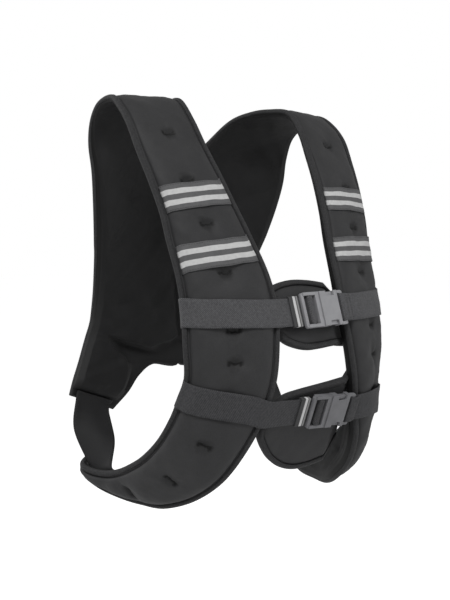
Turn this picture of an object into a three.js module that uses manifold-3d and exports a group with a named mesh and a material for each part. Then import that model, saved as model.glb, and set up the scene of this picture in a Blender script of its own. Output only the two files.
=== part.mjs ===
// A weighted fitness vest in the shape in which it is worn: one padded neoprene body that runs from
// under each arm up the chest, over the shoulder and down to a crossed back, with a binding round its
// edge, flat side straps, webbing with two side-release buckles, reflective bands and buckle flaps.
// Millimetres, +Z up, the chest towards -Y and the wearer's left towards +X.
// The origin is midway between the two shoulder arches, at the height of their undersides.
import * as THREE from "three";
import { mergeVertices } from "three/addons/utils/BufferGeometryUtils.js";
import Module from "manifold-3d";

const wasm = await Module();
wasm.setup();

// Driving dimensions of the whole vest
const VEST_HEIGHT = 455;
const HALF_WIDTH = 160;
const BODY_DEPTH = 160;
const CREST_HEIGHT = 18;

// Neoprene, padding and edge binding
const PAD_THICKNESS = 20;
const OUTER_PAD_SHARE = 0.4;
const PAD_CROWN = 2;
const FLANGE_THICKNESS = 3.2;
const ROLL_WIDTH = 15;
const SIDE_WALL_SHARE = 0.6;
const BINDING_WIDTH = 6;
const BINDING_THICKNESS = 2.4;
const BINDING_OVERHANG = 0.8;
const RIM_SHARE = 0.6;
const MITRE_LIMIT = 1.6;
const GROOVE_WIDTH = 2;
const CLEARANCE = 0.35;

// Tufts, the stitched points that hold the filling in place
const TUFT_SPACING = 51;
const SECTIONS_PER_TUFT = 3;
const TUFT_DEPTH = 4;

// Webbing, bands and straps
const WEBBING_WIDTH = 30;
const WEBBING_THICKNESS = 1.6;
const BAND_WIDTH = 30;
const BAND_THICKNESS = 1.2;
const STRIP_LIFT = 0.9;
const SIDE_STRAP_THICKNESS = 3;

// Side-release buckles and keepers
const BUCKLE_LENGTH = 62;
const BUCKLE_WIDTH = 39;
const BUCKLE_THICKNESS = 9;
const BUCKLE_CORNER = 3;
const LADDER_LENGTH = 0.42 * BUCKLE_LENGTH;
const LADDER_BAR = 0.0645 * BUCKLE_LENGTH;
const LADDER_BAR_THICKNESS = 3.4;
const BAR_LIFT = 0.5;
const FRAME_THICKNESS = 6.5;
const SLOT_WIDTH = 0.0968 * BUCKLE_LENGTH;
const NOTCH_LENGTH = 0.1935 * BUCKLE_LENGTH;
const NOTCH_DEPTH = 5.5;
const NOTCH_START = 0.1452 * BUCKLE_LENGTH;
const PRONG_WIDTH = 5;
const PRONG_THICKNESS = 4;
const LAP_LENGTH = 8;
const KEEPER_WIDTH = 13;
const KEEPER_WALL = 1.4;
const KEEPER_DISTANCE = 3;
const KEEPER_LEAD = 5;
const WEBBING_TURN = 0.9;
const WRAP_DEPTH = 3.6;

// Buckle flaps
const FLAP_THICKNESS = 5;
const FLAP_CROWN = 1.5;
const FLAP_BINDING_WIDTH = 5;
const FLAP_BINDING_THICKNESS = 2;
const FLAP_SEAT = 1.05;
const FLAP_BEND = { upperLeft: 20, lowerLeft: 28, right: 8, slope: 0.7 };

const NEOPRENE = { color: 0x3a3a3b, roughness: 0.75, metalness: 0 };
const FLAT_NEOPRENE = { color: 0x2c2c2d, roughness: 0.8, metalness: 0 };
const BINDING = { color: 0x2b2b2c, roughness: 0.85, metalness: 0 };
const WEBBING = { color: 0x4c4c4e, roughness: 0.8, metalness: 0 };
const BAND = { color: 0x8a8a8c, roughness: 0.7, metalness: 0 };
const PLASTIC = { color: 0x808083, roughness: 0.5, metalness: 0 };

// Sections of the left half, from the tail behind the hip, round the side, up the chest, over the
// shoulder and down the back to the end of the wing. Each row holds the inner edge (neck and centre
// side) and the outer edge (armhole side): x is a share of HALF_WIDTH, y of BODY_DEPTH and down of
// VEST_HEIGHT below the shoulder crest. pad is a share of PAD_THICKNESS, bow is the outward curve
// between the edges as a share of BODY_DEPTH, and hem is the flat stretch inside the inner binding
// as a share of ROLL_WIDTH, below zero where the padding runs on across the middle of the back.
const column = { ix: 0, iy: 1, idown: 2, ox: 3, oy: 4, odown: 5, pad: 6, bow: 7, hem: 8 };
const HALF = [
  // ix     iy     idown   ox     oy      odown  pad   bow    hem
  [0.856, 0.5, 0.954, 0.881, 0.469, 0.914, 0.45, 0.0, 0.0],
  [0.912, 0.475, 0.954, 0.938, 0.438, 0.912, 0.45, 0.005, 0.0],
  [0.95, 0.388, 0.96, 1.006, 0.375, 0.921, 0.5, 0.01, 0.0],
  [0.906, 0.262, 0.982, 0.994, 0.288, 0.93, 0.6, 0.01, 0.0],
  [0.844, 0.1, 0.998, 0.962, 0.162, 0.932, 0.75, 0.012, 0.0],
  [0.8, -0.1, 1.004, 0.938, 0.025, 0.923, 0.9, 0.02, 0.0],
  [0.744, -0.294, 1.004, 0.931, -0.125, 0.903, 1.0, 0.03, 0.0],
  [0.65, -0.5, 0.978, 0.919, -0.275, 0.875, 1.0, 0.045, 0.0],
  [0.575, -0.712, 0.925, 0.9, -0.425, 0.831, 1.0, 0.055, 0.0],
  [0.5, -0.862, 0.851, 0.888, -0.55, 0.776, 1.0, 0.05, 0.0],
  [0.412, -0.944, 0.771, 0.875, -0.62, 0.727, 1.0, 0.045, 0.0],
  [0.356, -0.994, 0.688, 0.862, -0.675, 0.675, 1.0, 0.04, 0.0],
  [0.319, -0.981, 0.602, 0.888, -0.694, 0.6, 1.0, 0.035, 0.0],
  [0.294, -0.938, 0.525, 0.884, -0.669, 0.525, 1.0, 0.03, 0.0],
  [0.306, -0.856, 0.442, 0.894, -0.625, 0.446, 0.95, 0.03, 0.0],
  [0.35, -0.731, 0.354, 0.919, -0.55, 0.36, 0.9, 0.03, 0.0],
  [0.4, -0.625, 0.279, 0.938, -0.5, 0.295, 0.85, 0.03, 0.0],
  [0.444, -0.5, 0.198, 0.969, -0.406, 0.215, 0.75, 0.025, 0.0],
  [0.475, -0.381, 0.13, 0.994, -0.306, 0.145, 0.6, 0.015, 0.0],
  [0.494, -0.275, 0.068, 1.006, -0.212, 0.081, 0.5, 0.005, 0.0],
  [0.494, -0.138, 0.015, 1.0, -0.088, 0.035, 0.45, 0.0, 0.0],
  [0.438, 0.031, 0.006, 0.981, 0.04, 0.01, 0.45, 0.0, 0.0],
  [0.375, 0.169, 0.01, 0.975, 0.205, 0.02, 0.45, 0.0, 0.0],
  [0.306, 0.325, 0.028, 0.95, 0.335, 0.056, 0.5, 0.01, 0.0],
  [0.238, 0.488, 0.074, 0.931, 0.385, 0.112, 0.7, 0.035, 0.0],
  [0.162, 0.6, 0.121, 0.9, 0.388, 0.182, 0.8, 0.05, 0.0],
  [0.075, 0.662, 0.176, 0.862, 0.431, 0.255, 0.9, 0.06, 0.0],
  [0.0, 0.694, 0.196, 0.819, 0.494, 0.327, 1.0, 0.05, 0.0],
  [0.0, 0.703, 0.26, 0.794, 0.535, 0.362, 1.0, 0.042, -1.5],
  [0.0, 0.706, 0.34, 0.769, 0.575, 0.398, 1.0, 0.033, -2.0],
  [0.0, 0.7, 0.46, 0.744, 0.638, 0.481, 1.0, 0.015, -2.0],
  [0.0, 0.66, 0.575, 0.75, 0.665, 0.545, 1.0, 0.0, -1.6],
  [0.0, 0.6, 0.688, 0.763, 0.672, 0.575, 1.0, 0.0, 2.4],
  [0.238, 0.6, 0.686, 0.8, 0.675, 0.613, 1.0, 0.0, 1.1],
  [0.375, 0.598, 0.714, 0.869, 0.65, 0.67, 1.0, 0.0, 0.6],
  [0.475, 0.598, 0.757, 0.938, 0.612, 0.714, 0.95, 0.0, 0.4],
  [0.58, 0.6, 0.79, 0.985, 0.578, 0.745, 0.85, 0.0, 0.2],
  [0.612, 0.6, 0.8, 0.994, 0.569, 0.752, 0.85, 0.0, 0.0],
];
const LAST_ROW = HALF.length - 1;
const NECK_ROW = 27;
const HEM_ROW = 32;

// Rows between which the chest panels lie, where the webbing and the bands cross them
const CHEST_ROWS = { low: 6, high: 19 };

// Where each webbing crosses the left half of the chest and where its buckle sits. Drops are shares
// of VEST_HEIGHT below the crest, offset is the buckle's middle as a share of HALF_WIDTH towards the
// wearer's left, and lean is the buckle's tilt about the X axis in degrees.
const WEBBINGS = [
  {
    name: "upper",
    drops: { rightArm: 0.527, rightCentre: 0.532, leftCentre: 0.523, leftArm: 0.51 },
    buckle: { offset: 0.09, lean: 16 },
  },
  {
    name: "lower",
    drops: { rightArm: 0.715, rightCentre: 0.765, leftCentre: 0.768, leftArm: 0.755 },
    buckle: { offset: 0.15, lean: -22 },
  },
];

// Where the reflective bands cross each shoulder, as shares of VEST_HEIGHT below the crest at the
// armhole edge and at the centre edge
const BANDS = [
  { name: "upper", rightArm: 0.271, rightCentre: 0.247, leftCentre: 0.252, leftArm: 0.255 },
  { name: "lower", rightArm: 0.411, rightCentre: 0.381, leftCentre: 0.385, leftArm: 0.379 },
];

// Buckle flaps in their buckle's frame: place along the buckle, and the lower and the upper edge
// there, all as shares of BUCKLE_LENGTH from the buckle's middle
const FLAPS = {
  upper: [
    // along  low    high
    [-1.02, -0.2, 0.3],
    [-0.97, -0.33, 0.45],
    [-0.82, -0.48, 0.54],
    [-0.6, -0.58, 0.59],
    [-0.34, -0.64, 0.61],
    [-0.05, -0.64, 0.59],
    [0.25, -0.62, 0.54],
    [0.5, -0.61, 0.48],
    [0.66, -0.6, 0.44],
    [0.8, -0.6, 0.41],
  ],
  lower: [
    // along  low    high
    [-1.3, -0.52, -0.36],
    [-1.25, -0.64, -0.1],
    [-1.1, -0.84, 0.1],
    [-0.9, -1.04, 0.22],
    [-0.6, -1.22, 0.29],
    [-0.26, -1.3, 0.35],
    [0.08, -1.25, 0.41],
    [0.38, -1.14, 0.47],
    [0.6, -1.05, 0.51],
    [0.74, -0.98, 0.53],
    [0.88, -0.93, 0.53],
  ],
};

// Side strap of the left half between the wing and the tail: middle of its free length, outer edge
// then inner edge, and the rows of the tail between which it is sewn. Shares as in the section table.
const STRAP_MIDDLE = { outer: [1.01, 0.49, 0.84], inner: [0.79, 0.3, 0.865] };
const STRAP_TAIL_ROWS = [1.7, 2.9, 4.2];

// Catmull-Rom curve through one column of the section table
function along(name, row) {
  const k = column[name];
  const i = Math.min(Math.floor(row), LAST_ROW - 1);
  const f = row - i;
  const at = (j) => HALF[Math.max(0, Math.min(LAST_ROW, j))][k];
  const [a, b, c, d] = [at(i - 1), at(i), at(i + 1), at(i + 2)];
  const cubic = 3 * b - a - 3 * c + d;
  return b + 0.5 * ((c - a) * f + (2 * a - 5 * b + 4 * c - d) * f * f + cubic * f * f * f);
}

function edgePoint(side, row) {
  const centred = side === "i" && row >= NECK_ROW && row <= HEM_ROW;
  return new THREE.Vector3(
    centred ? 0 : Math.max(0, along(`${side}x`, row)) * HALF_WIDTH,
    along(`${side}y`, row) * BODY_DEPTH,
    CREST_HEIGHT - along(`${side}down`, row) * VEST_HEIGHT,
  );
}

// Middle surface of the half body at a row and at v, which runs from 0 at the inner edge to 1
function middlePoint(row, v) {
  const inner = edgePoint("i", row);
  const outer = edgePoint("o", row);
  const point = inner.clone().lerp(outer, v);
  const bow = along("bow", row) * BODY_DEPTH * 4 * v * (1 - v);
  return point.addScaledVector(flatNormal(row), bow);
}

function flatNormal(row) {
  const step = 0.05;
  const before = Math.max(0, row - step);
  const after = Math.min(LAST_ROW, row + step);
  const middle = (at) => edgePoint("i", at).add(edgePoint("o", at)).multiplyScalar(0.5);
  const across = edgePoint("o", row).sub(edgePoint("i", row));
  return across.cross(middle(after).sub(middle(before))).normalize();
}

function surfaceNormal(row, v) {
  const step = 0.02;
  const up = middlePoint(Math.min(LAST_ROW, row + step), v);
  const down = middlePoint(Math.max(0, row - step), v);
  const right = middlePoint(row, Math.min(1, v + step));
  const left = middlePoint(row, Math.max(0, v - step));
  const normal = right.sub(left).cross(up.sub(down)).normalize();
  if (v === 0 && row >= NECK_ROW && row <= HEM_ROW) {
    normal.x = 0;
    normal.normalize();
  }
  return normal;
}

// Distance along the middle of the half body, from the tail to each of many small steps of the rows
const STEPS_PER_ROW = 40;
const travelled = [0];
for (let s = 1; s <= LAST_ROW * STEPS_PER_ROW; s++) {
  const here = middlePoint(s / STEPS_PER_ROW, 0.5);
  travelled.push(travelled[s - 1] + here.distanceTo(middlePoint((s - 1) / STEPS_PER_ROW, 0.5)));
}
const HALF_LENGTH = travelled[travelled.length - 1];

function distanceAtRow(row) {
  const s = Math.min(Math.floor(row * STEPS_PER_ROW), travelled.length - 2);
  return travelled[s] + (travelled[s + 1] - travelled[s]) * (row * STEPS_PER_ROW - s);
}

function rowAtDistance(distance) {
  let s = 1;
  while (s < travelled.length - 1 && travelled[s] < distance) s++;
  return (s - 1 + (distance - travelled[s - 1]) / (travelled[s] - travelled[s - 1])) / STEPS_PER_ROW;
}

// Rows of the sections: evenly spaced within each stretch, and close together where the padding
// ends at the tail, at the end of the wing and below the neck
const FLANGE_WIDTH = BINDING_WIDTH + GROOVE_WIDTH - BINDING_OVERHANG;
const END_FLAT = FLANGE_WIDTH + 7 * CLEARANCE;
const ROLL_START = 0.3;
const sectionRows = [0];
for (const [from, to] of [[0, NECK_ROW], [NECK_ROW, HEM_ROW], [HEM_ROW, LAST_ROW]]) {
  const [start, end] = [distanceAtRow(from), distanceAtRow(to)];
  const count = Math.max(2, Math.round(((end - start) * SECTIONS_PER_TUFT) / TUFT_SPACING));
  for (let n = 1; n < count; n++) sectionRows.push(rowAtDistance(start + ((end - start) * n) / count));
  sectionRows.push(to);
}
const neckDepth = edgePoint("i", NECK_ROW).distanceTo(edgePoint("i", NECK_ROW + 1));
const endSteps = [END_FLAT, END_FLAT + ROLL_START * ROLL_WIDTH];
const underNeck = NECK_ROW + (BINDING_WIDTH + GROOVE_WIDTH) / neckDepth;
sectionRows.splice(sectionRows.indexOf(NECK_ROW) + 1, 0, underNeck);
sectionRows.splice(1, 0, ...endSteps.map(rowAtDistance));
sectionRows.splice(-1, 0, ...endSteps.map((d) => rowAtDistance(HALF_LENGTH - d)).reverse());
const neckSection = sectionRows.indexOf(NECK_ROW);
const hemSection = sectionRows.indexOf(HEM_ROW);
const lastSection = sectionRows.length - 1;
const centred = (k) => k >= neckSection && k <= hemSection;

// Outline of the half body, from the neck at the middle of the back, down the front edge, round the
// tail, up the armhole edge, round the end of the wing and back to the middle at the hem
const outline = [];
for (let k = neckSection; k >= 0; k--) outline.push({ section: k, side: "i" });
for (let k = 0; k <= lastSection; k++) outline.push({ section: k, side: "o" });
for (let k = lastSection; k >= hemSection; k--) outline.push({ section: k, side: "i" });
for (const entry of outline) {
  const row = sectionRows[entry.section];
  entry.point = edgePoint(entry.side, row);
  entry.normal = surfaceNormal(row, entry.side === "i" ? 0 : 1);
}
const mirrorX = (vector) => new THREE.Vector3(-vector.x, vector.y, vector.z);
outline.forEach((entry, n) => {
  const before = n === 0 ? mirrorX(outline[1].point) : outline[n - 1].point;
  const after = n === outline.length - 1 ? mirrorX(outline[n - 1].point) : outline[n + 1].point;
  const arriving = entry.point.clone().sub(before).normalize();
  const leaving = after.clone().sub(entry.point).normalize();
  const direction = arriving.clone().add(leaving).normalize();
  entry.inward = entry.normal.clone().cross(direction).normalize();
  entry.mitre = Math.min(MITRE_LIMIT, 1 / Math.max(0.3, direction.dot(arriving)));
});

function insetPoint(entry, distance) {
  const point = entry.point.clone().addScaledVector(entry.inward, distance * entry.mitre);
  if (Math.abs(entry.point.x) < 1e-6) point.x = 0;
  return point;
}

const outlineEntry = (section, side) => outline.find((e) => e.section === section && e.side === side);

// Stations across one section: the flange edge, the groove, the padding's roll, the pillow and back.
// Distances are square to the edges, so they are stretched by each edge's slant to the section.
const LEAST_PILLOW = 0.6;
function stations(width, hem, roll, slant) {
  const first = FLANGE_WIDTH + Math.max(hem, 0);
  const near = [0, first, first + ROLL_START * roll, first + roll].map((d) => d / slant.i);
  const far = [roll, ROLL_START * roll, 0, -FLANGE_WIDTH].map((d) => width - (FLANGE_WIDTH + d) / slant.o);
  const inside = [0.25, 0.5, 0.75].map((s) => near[3] + (far[0] - near[3]) * s);
  return [...near, ...inside, ...far];
}

// Sine of the angle between a section and one of its edges
function edgeSlant(side, k, across) {
  const before = edgePoint(side, sectionRows[Math.max(0, k - 1)]);
  const after = edgePoint(side, sectionRows[Math.min(lastSection, k + 1)]);
  return Math.max(0.5, after.sub(before).normalize().cross(across).length());
}
const STATION_COUNT = 11;
const MIDDLE_STATION = 5;

// The outer padding rises from the groove in a quarter round
function rollShare(distance, roll) {
  const s = Math.min(1, Math.max(0, distance / roll));
  return Math.sqrt(1 - (1 - s) * (1 - s));
}

// The inner padding starts at the edge with an upright wall and is full a flange's width further in
function wallShare(distance) {
  const s = Math.min(1, Math.max(0, distance / FLANGE_WIDTH));
  return distance < 0 ? 0 : SIDE_WALL_SHARE + (1 - SIDE_WALL_SHARE) * s;
}

// Skins of the half body: the outer and the inner point of each station of each section, and the
// outer skin as it would be without tufts, which is what webbing and bands lie on
const outerSkin = [];
const innerSkin = [];
const smoothSkin = [];
const tuftSections = new Set();
for (let k = 4; k < lastSection - 4; k += SECTIONS_PER_TUFT) tuftSections.add(k);
for (let k = 0; k <= lastSection; k++) {
  const row = sectionRows[k];
  const inset = BINDING_OVERHANG;
  const freeInner = k <= neckSection || k >= hemSection;
  const start = freeInner ? insetPoint(outlineEntry(k, "i"), inset) : edgePoint("i", row);
  const end = insetPoint(outlineEntry(k, "o"), inset);
  const width = start.distanceTo(end);
  const across = end.clone().sub(start).normalize();
  const slant = { i: edgeSlant("i", k, across), o: edgeSlant("o", k, across) };
  const hem = k === neckSection + 1 ? 0 : along("hem", row) * ROLL_WIDTH;
  const flats = (FLANGE_WIDTH + Math.max(0, hem)) / slant.i + FLANGE_WIDTH / slant.o;
  const roll = Math.min(ROLL_WIDTH, (width - flats) / (1 / slant.i + 1 / slant.o + LEAST_PILLOW));
  const pad = Math.max(0, along("pad", row)) * PAD_THICKNESS;
  const toEnd = Math.min(distanceAtRow(row), HALF_LENGTH - distanceAtRow(row)) - END_FLAT;
  const endRoll = rollShare(toEnd, ROLL_WIDTH);
  const outerRow = [];
  const innerRow = [];
  const smoothRow = [];
  stations(width, hem, roll, slant).forEach((distance, j) => {
    const v = distance / width;
    const bow = along("bow", row) * BODY_DEPTH * 4 * v * (1 - v);
    const normal = surfaceNormal(row, v);
    const middle = start.clone().lerp(end, v).addScaledVector(flatNormal(row), bow);
    const fromStart = distance * slant.i;
    const fromEnd = (width - distance) * slant.o;
    const sides = rollShare(fromStart - hem - FLANGE_WIDTH, roll) * rollShare(fromEnd - FLANGE_WIDTH, roll);
    const share = sides * endRoll;
    const wall = wallShare(fromStart - Math.max(0, hem)) * wallShare(fromEnd) * endRoll;
    const filling = Math.max(0, pad - FLANGE_THICKNESS);
    const bulge = (PAD_CROWN * share * pad * 4 * v * (1 - v)) / PAD_THICKNESS;
    const tufted = j === MIDDLE_STATION && tuftSections.has(k) && pad > 0.5 * PAD_THICKNESS;
    const dent = tufted ? TUFT_DEPTH : 0;
    const flangeHalf = FLANGE_THICKNESS / 2;
    const rise = filling * share * OUTER_PAD_SHARE;
    const drop = filling * wall * (1 - OUTER_PAD_SHARE);
    const smooth = middle.clone().addScaledVector(normal, flangeHalf + rise + bulge);
    const outer = smooth.clone().addScaledVector(normal, -dent);
    const inner = middle.clone().addScaledVector(normal, -(flangeHalf + drop + bulge - dent));
    if (centred(k) && j === 0) {
      outer.x = 0;
      inner.x = 0;
    }
    outerRow.push(outer);
    innerRow.push(inner);
    smoothRow.push(smooth);
  });
  outerSkin.push(outerRow);
  innerSkin.push(innerRow);
  smoothSkin.push(smoothRow);
}

// Collects triangles and turns them into one closed mesh with merged corners
class Shell {
  constructor() {
    this.corners = [];
  }
  triangle(a, b, c) {
    this.corners.push(a, b, c);
  }
  quad(a, b, c, d) {
    this.triangle(a, b, c);
    this.triangle(a, c, d);
  }
  mirrored() {
    const other = new Shell();
    for (let n = 0; n < this.corners.length; n += 3) {
      const [a, b, c] = this.corners.slice(n, n + 3).map(mirrorX);
      other.triangle(a, c, b);
    }
    return other;
  }
  join(other) {
    this.corners.push(...other.corners);
    return this;
  }
  geometry() {
    const geometry = new THREE.BufferGeometry().setFromPoints(this.corners);
    return facingOut(mergeVertices(geometry, 1e-4));
  }
}

function facingOut(geometry) {
  const position = geometry.attributes.position;
  const index = geometry.index.array;
  const [a, b, c] = [new THREE.Vector3(), new THREE.Vector3(), new THREE.Vector3()];
  let volume = 0;
  for (let n = 0; n < index.length; n += 3) {
    a.fromBufferAttribute(position, index[n]);
    b.fromBufferAttribute(position, index[n + 1]);
    c.fromBufferAttribute(position, index[n + 2]);
    volume += a.dot(b.cross(c)) / 6;
  }
  if (volume < 0) {
    for (let n = 0; n < index.length; n += 3) {
      [index[n + 1], index[n + 2]] = [index[n + 2], index[n + 1]];
    }
  }
  geometry.computeVertexNormals();
  return geometry;
}

// A solid through rings of corners: open ends get caps, and a closed run joins its last ring to its first
function loft(rings, closed = false) {
  const shell = new Shell();
  const size = rings[0].length;
  const last = closed ? rings.length : rings.length - 1;
  for (let n = 0; n < last; n++) {
    const here = rings[n];
    const next = rings[(n + 1) % rings.length];
    for (let i = 0; i < size; i++) {
      const j = (i + 1) % size;
      shell.quad(here[i], here[j], next[j], next[i]);
    }
  }
  if (!closed) {
    for (let i = 0; i < size / 2 - 1; i++) {
      const [first, end] = [rings[0], rings[rings.length - 1]];
      const k = size - 1 - i;
      shell.quad(first[k], first[k - 1], first[i + 1], first[i]);
      shell.quad(end[i], end[i + 1], end[k - 1], end[k]);
    }
  }
  return shell.geometry();
}

const vest = new THREE.Group();

function addPiece(name, geometry, finish) {
  const mesh = new THREE.Mesh(geometry, new THREE.MeshStandardMaterial(finish));
  mesh.name = name;
  vest.add(mesh);
  return mesh;
}

// Padded body
function bodyGeometry() {
  const half = new Shell();
  for (let k = 0; k < lastSection; k++) {
    const [out, outNext] = [outerSkin[k], outerSkin[k + 1]];
    const [inn, innNext] = [innerSkin[k], innerSkin[k + 1]];
    for (let j = 0; j < STATION_COUNT - 1; j++) {
      half.quad(out[j], out[j + 1], outNext[j + 1], outNext[j]);
      half.quad(inn[j + 1], inn[j], innNext[j], innNext[j + 1]);
    }
    const end = STATION_COUNT - 1;
    half.quad(out[end], inn[end], innNext[end], outNext[end]);
    if (!(centred(k) && centred(k + 1))) half.quad(inn[0], out[0], outNext[0], innNext[0]);
  }
  for (const [k, turned] of [[0, false], [lastSection, true]]) {
    for (let j = 0; j < STATION_COUNT - 1; j++) {
      const face = [innerSkin[k][j], innerSkin[k][j + 1], outerSkin[k][j + 1], outerSkin[k][j]];
      if (turned) face.reverse();
      half.quad(...face);
    }
  }
  const other = half.mirrored();
  return half.join(other).geometry();
}
addPiece("padded_body", bodyGeometry(), NEOPRENE);

// Edge binding, one closed run round the whole outline
const BINDING_SEAT = FLANGE_THICKNESS / 2 + 3 * CLEARANCE;
function bindingRing(entry) {
  const inside = insetPoint(entry, BINDING_WIDTH);
  const top = BINDING_SEAT + BINDING_THICKNESS;
  const rim = BINDING_SEAT + RIM_SHARE * BINDING_THICKNESS;
  return [
    entry.point.clone().addScaledVector(entry.normal, rim),
    inside.clone().addScaledVector(entry.normal, top),
    inside.clone().addScaledVector(entry.normal, BINDING_SEAT),
    entry.point.clone().addScaledVector(entry.normal, BINDING_SEAT),
  ];
}
const leftRings = outline.map(bindingRing);
const rightRings = leftRings.slice(1, -1).reverse().map((ring) => ring.map(mirrorX));
addPiece("edge_binding", loft([...leftRings, ...rightRings], true), BINDING);

// Strips that lie across a chest panel. A strip follows the outer skin from station to station, and
// where it crosses each station is set by its drop below the crest.
function skinAt(k, j, lift) {
  const whole = Math.min(Math.floor(k), lastSection - 1);
  const point = smoothSkin[whole][j].clone().lerp(smoothSkin[whole + 1][j], k - whole);
  const v = j / (STATION_COUNT - 1);
  const row = sectionRows[whole] + (sectionRows[whole + 1] - sectionRows[whole]) * (k - whole);
  return point.addScaledVector(surfaceNormal(row, v), lift);
}

function sectionAtDrop(j, drop) {
  const wanted = CREST_HEIGHT - drop * VEST_HEIGHT;
  let k = sectionRows.findIndex((row) => row >= CHEST_ROWS.low);
  while (sectionRows[k] < CHEST_ROWS.high && smoothSkin[k + 1][j].z < wanted) k++;
  return k + (wanted - smoothSkin[k][j].z) / (smoothSkin[k + 1][j].z - smoothSkin[k][j].z);
}

// Rings of a strip over the stations listed, from the armhole edge to the centre edge. The strip
// clears the binding at the two rims and the padding between them.
function stripRings(centreDrop, armDrop, width, thickness, stationList) {
  const last = STATION_COUNT - 1;
  const dropAt = (j) => centreDrop + ((armDrop - centreDrop) * j) / last;
  const spot = (j) => skinAt(sectionAtDrop(j, dropAt(j)), j, 0);
  return stationList.map((j) => {
    const k = sectionAtDrop(j, dropAt(j));
    const run = spot(Math.min(last, j + 1)).sub(spot(Math.max(0, j - 1))).normalize();
    const climb = skinAt(k + 0.5, j, 0).sub(skinAt(k - 0.5, j, 0));
    const sine = climb.clone().normalize().cross(run).length();
    const reach = width / 2 / sine / climb.length();
    const onRim = j === 0 || j === last;
    const lift = onRim ? BINDING_SEAT - FLANGE_THICKNESS / 2 + BINDING_THICKNESS + STRIP_LIFT : STRIP_LIFT;
    const low = [-1, 0, 1].map((s) => skinAt(k + s * reach, j, lift));
    const high = [1, 0, -1].map((s) => skinAt(k + s * reach, j, lift + thickness));
    return [...low, ...high];
  });
}

const mirrorRings = (rings) => rings.map((ring) => ring.map(mirrorX));

// Reflective bands over both shoulders
const ACROSS_PAD = [9, 8, 7, 6, 5, 4, 3, 2, 1];
for (const band of BANDS) {
  const left = stripRings(band.leftCentre, band.leftArm, BAND_WIDTH, BAND_THICKNESS, ACROSS_PAD);
  const right = stripRings(band.rightCentre, band.rightArm, BAND_WIDTH, BAND_THICKNESS, ACROSS_PAD);
  addPiece(`${band.name}_left_band`, loft(left), BAND);
  addPiece(`${band.name}_right_band`, loft(mirrorRings(right)), BAND);
}

// Boolean solids for the plastic parts
function solidOf(geometry) {
  const bare = geometry.clone();
  bare.deleteAttribute("normal");
  bare.deleteAttribute("uv");
  const merged = mergeVertices(bare, 1e-4);
  const vertProperties = new Float32Array(merged.attributes.position.array);
  const triVerts = new Uint32Array(merged.index.array);
  return new wasm.Manifold(new wasm.Mesh({ numProp: 3, vertProperties, triVerts }));
}

function geometryOf(solid) {
  const mesh = solid.getMesh();
  const geometry = new THREE.BufferGeometry();
  geometry.setAttribute("position", new THREE.BufferAttribute(new Float32Array(mesh.vertProperties), 3));
  geometry.setIndex(new THREE.BufferAttribute(new Uint32Array(mesh.triVerts), 1));
  return facingOut(geometry);
}

// A plate in a buckle's own frame: length along X, width along Y and thickness along Z
function plate(lowX, highX, lowY, highY, lowZ, highZ, corner = 0) {
  const shape = new THREE.Shape();
  shape.moveTo(lowX + corner, lowY);
  shape.lineTo(highX - corner, lowY);
  if (corner > 0) shape.quadraticCurveTo(highX, lowY, highX, lowY + corner);
  shape.lineTo(highX, highY - corner);
  if (corner > 0) shape.quadraticCurveTo(highX, highY, highX - corner, highY);
  shape.lineTo(lowX + corner, highY);
  if (corner > 0) shape.quadraticCurveTo(lowX, highY, lowX, highY - corner);
  shape.lineTo(lowX, lowY + corner);
  if (corner > 0) shape.quadraticCurveTo(lowX, lowY, lowX + corner, lowY);
  const options = { depth: highZ - lowZ, bevelEnabled: false, curveSegments: 3 };
  return solidOf(new THREE.ExtrudeGeometry(shape, options).translate(0, 0, lowZ));
}

// Side-release buckle: places along its length, counted from its middle
const HALF_BUCKLE = BUCKLE_LENGTH / 2;
const MOUTH = -HALF_BUCKLE + LADDER_LENGTH;
const SIDE = BUCKLE_WIDTH / 2;
const RAIL = (BUCKLE_WIDTH - WEBBING_WIDTH) / 2 - 1;
const LATCH_WIDTH = BUCKLE_WIDTH / 2 - RAIL - PRONG_WIDTH;
const BAR_LOW = BAR_LIFT - LADDER_BAR_THICKNESS / 2;
const BAR_HIGH = BAR_LIFT + LADDER_BAR_THICKNESS / 2;
const FRAME_HALF = FRAME_THICKNESS / 2;
const THROUGH = BUCKLE_THICKNESS;
const notch = { from: MOUTH + NOTCH_START, to: MOUTH + NOTCH_START + NOTCH_LENGTH };
const endSlot = { from: HALF_BUCKLE - LADDER_BAR - SLOT_WIDTH, to: HALF_BUCKLE - LADDER_BAR };

function plugSolid() {
  const inner = SIDE - RAIL;
  const slots = [0, 1].map((n) => -HALF_BUCKLE + LADDER_BAR + n * (SLOT_WIDTH + LADDER_BAR));
  let solid = plate(-HALF_BUCKLE, MOUTH - CLEARANCE, -SIDE, SIDE, BAR_LOW, BAR_HIGH, BUCKLE_CORNER);
  for (const from of slots) {
    solid = solid.subtract(plate(from, from + SLOT_WIDTH, -inner, inner, -THROUGH, THROUGH));
  }
  for (const sign of [-1, 1]) {
    const [low, high] = sign < 0 ? [-SIDE, -inner] : [inner, SIDE];
    const railStart = -HALF_BUCKLE + BUCKLE_CORNER;
    solid = solid.add(plate(railStart, MOUTH - CLEARANCE, low, high, -FRAME_HALF, FRAME_HALF));
    const prongHigh = sign * (LATCH_WIDTH + PRONG_WIDTH);
    const [a, b] = [sign * LATCH_WIDTH, prongHigh].sort((p, q) => p - q);
    solid = solid.add(plate(MOUTH - 2, notch.to - 1, a, b, -PRONG_THICKNESS / 2, PRONG_THICKNESS / 2));
    const [c, d] = [sign * LATCH_WIDTH, sign * (SIDE - 1)].sort((p, q) => p - q);
    const headFrom = notch.from + 1;
    solid = solid.add(plate(headFrom, notch.to - 1, c, d, -PRONG_THICKNESS / 2, PRONG_THICKNESS / 2));
  }
  const shoulder = slots[1] + SLOT_WIDTH;
  return solid.add(plate(shoulder, MOUTH - CLEARANCE, -SIDE, SIDE, -FRAME_HALF, FRAME_HALF));
}

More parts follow.
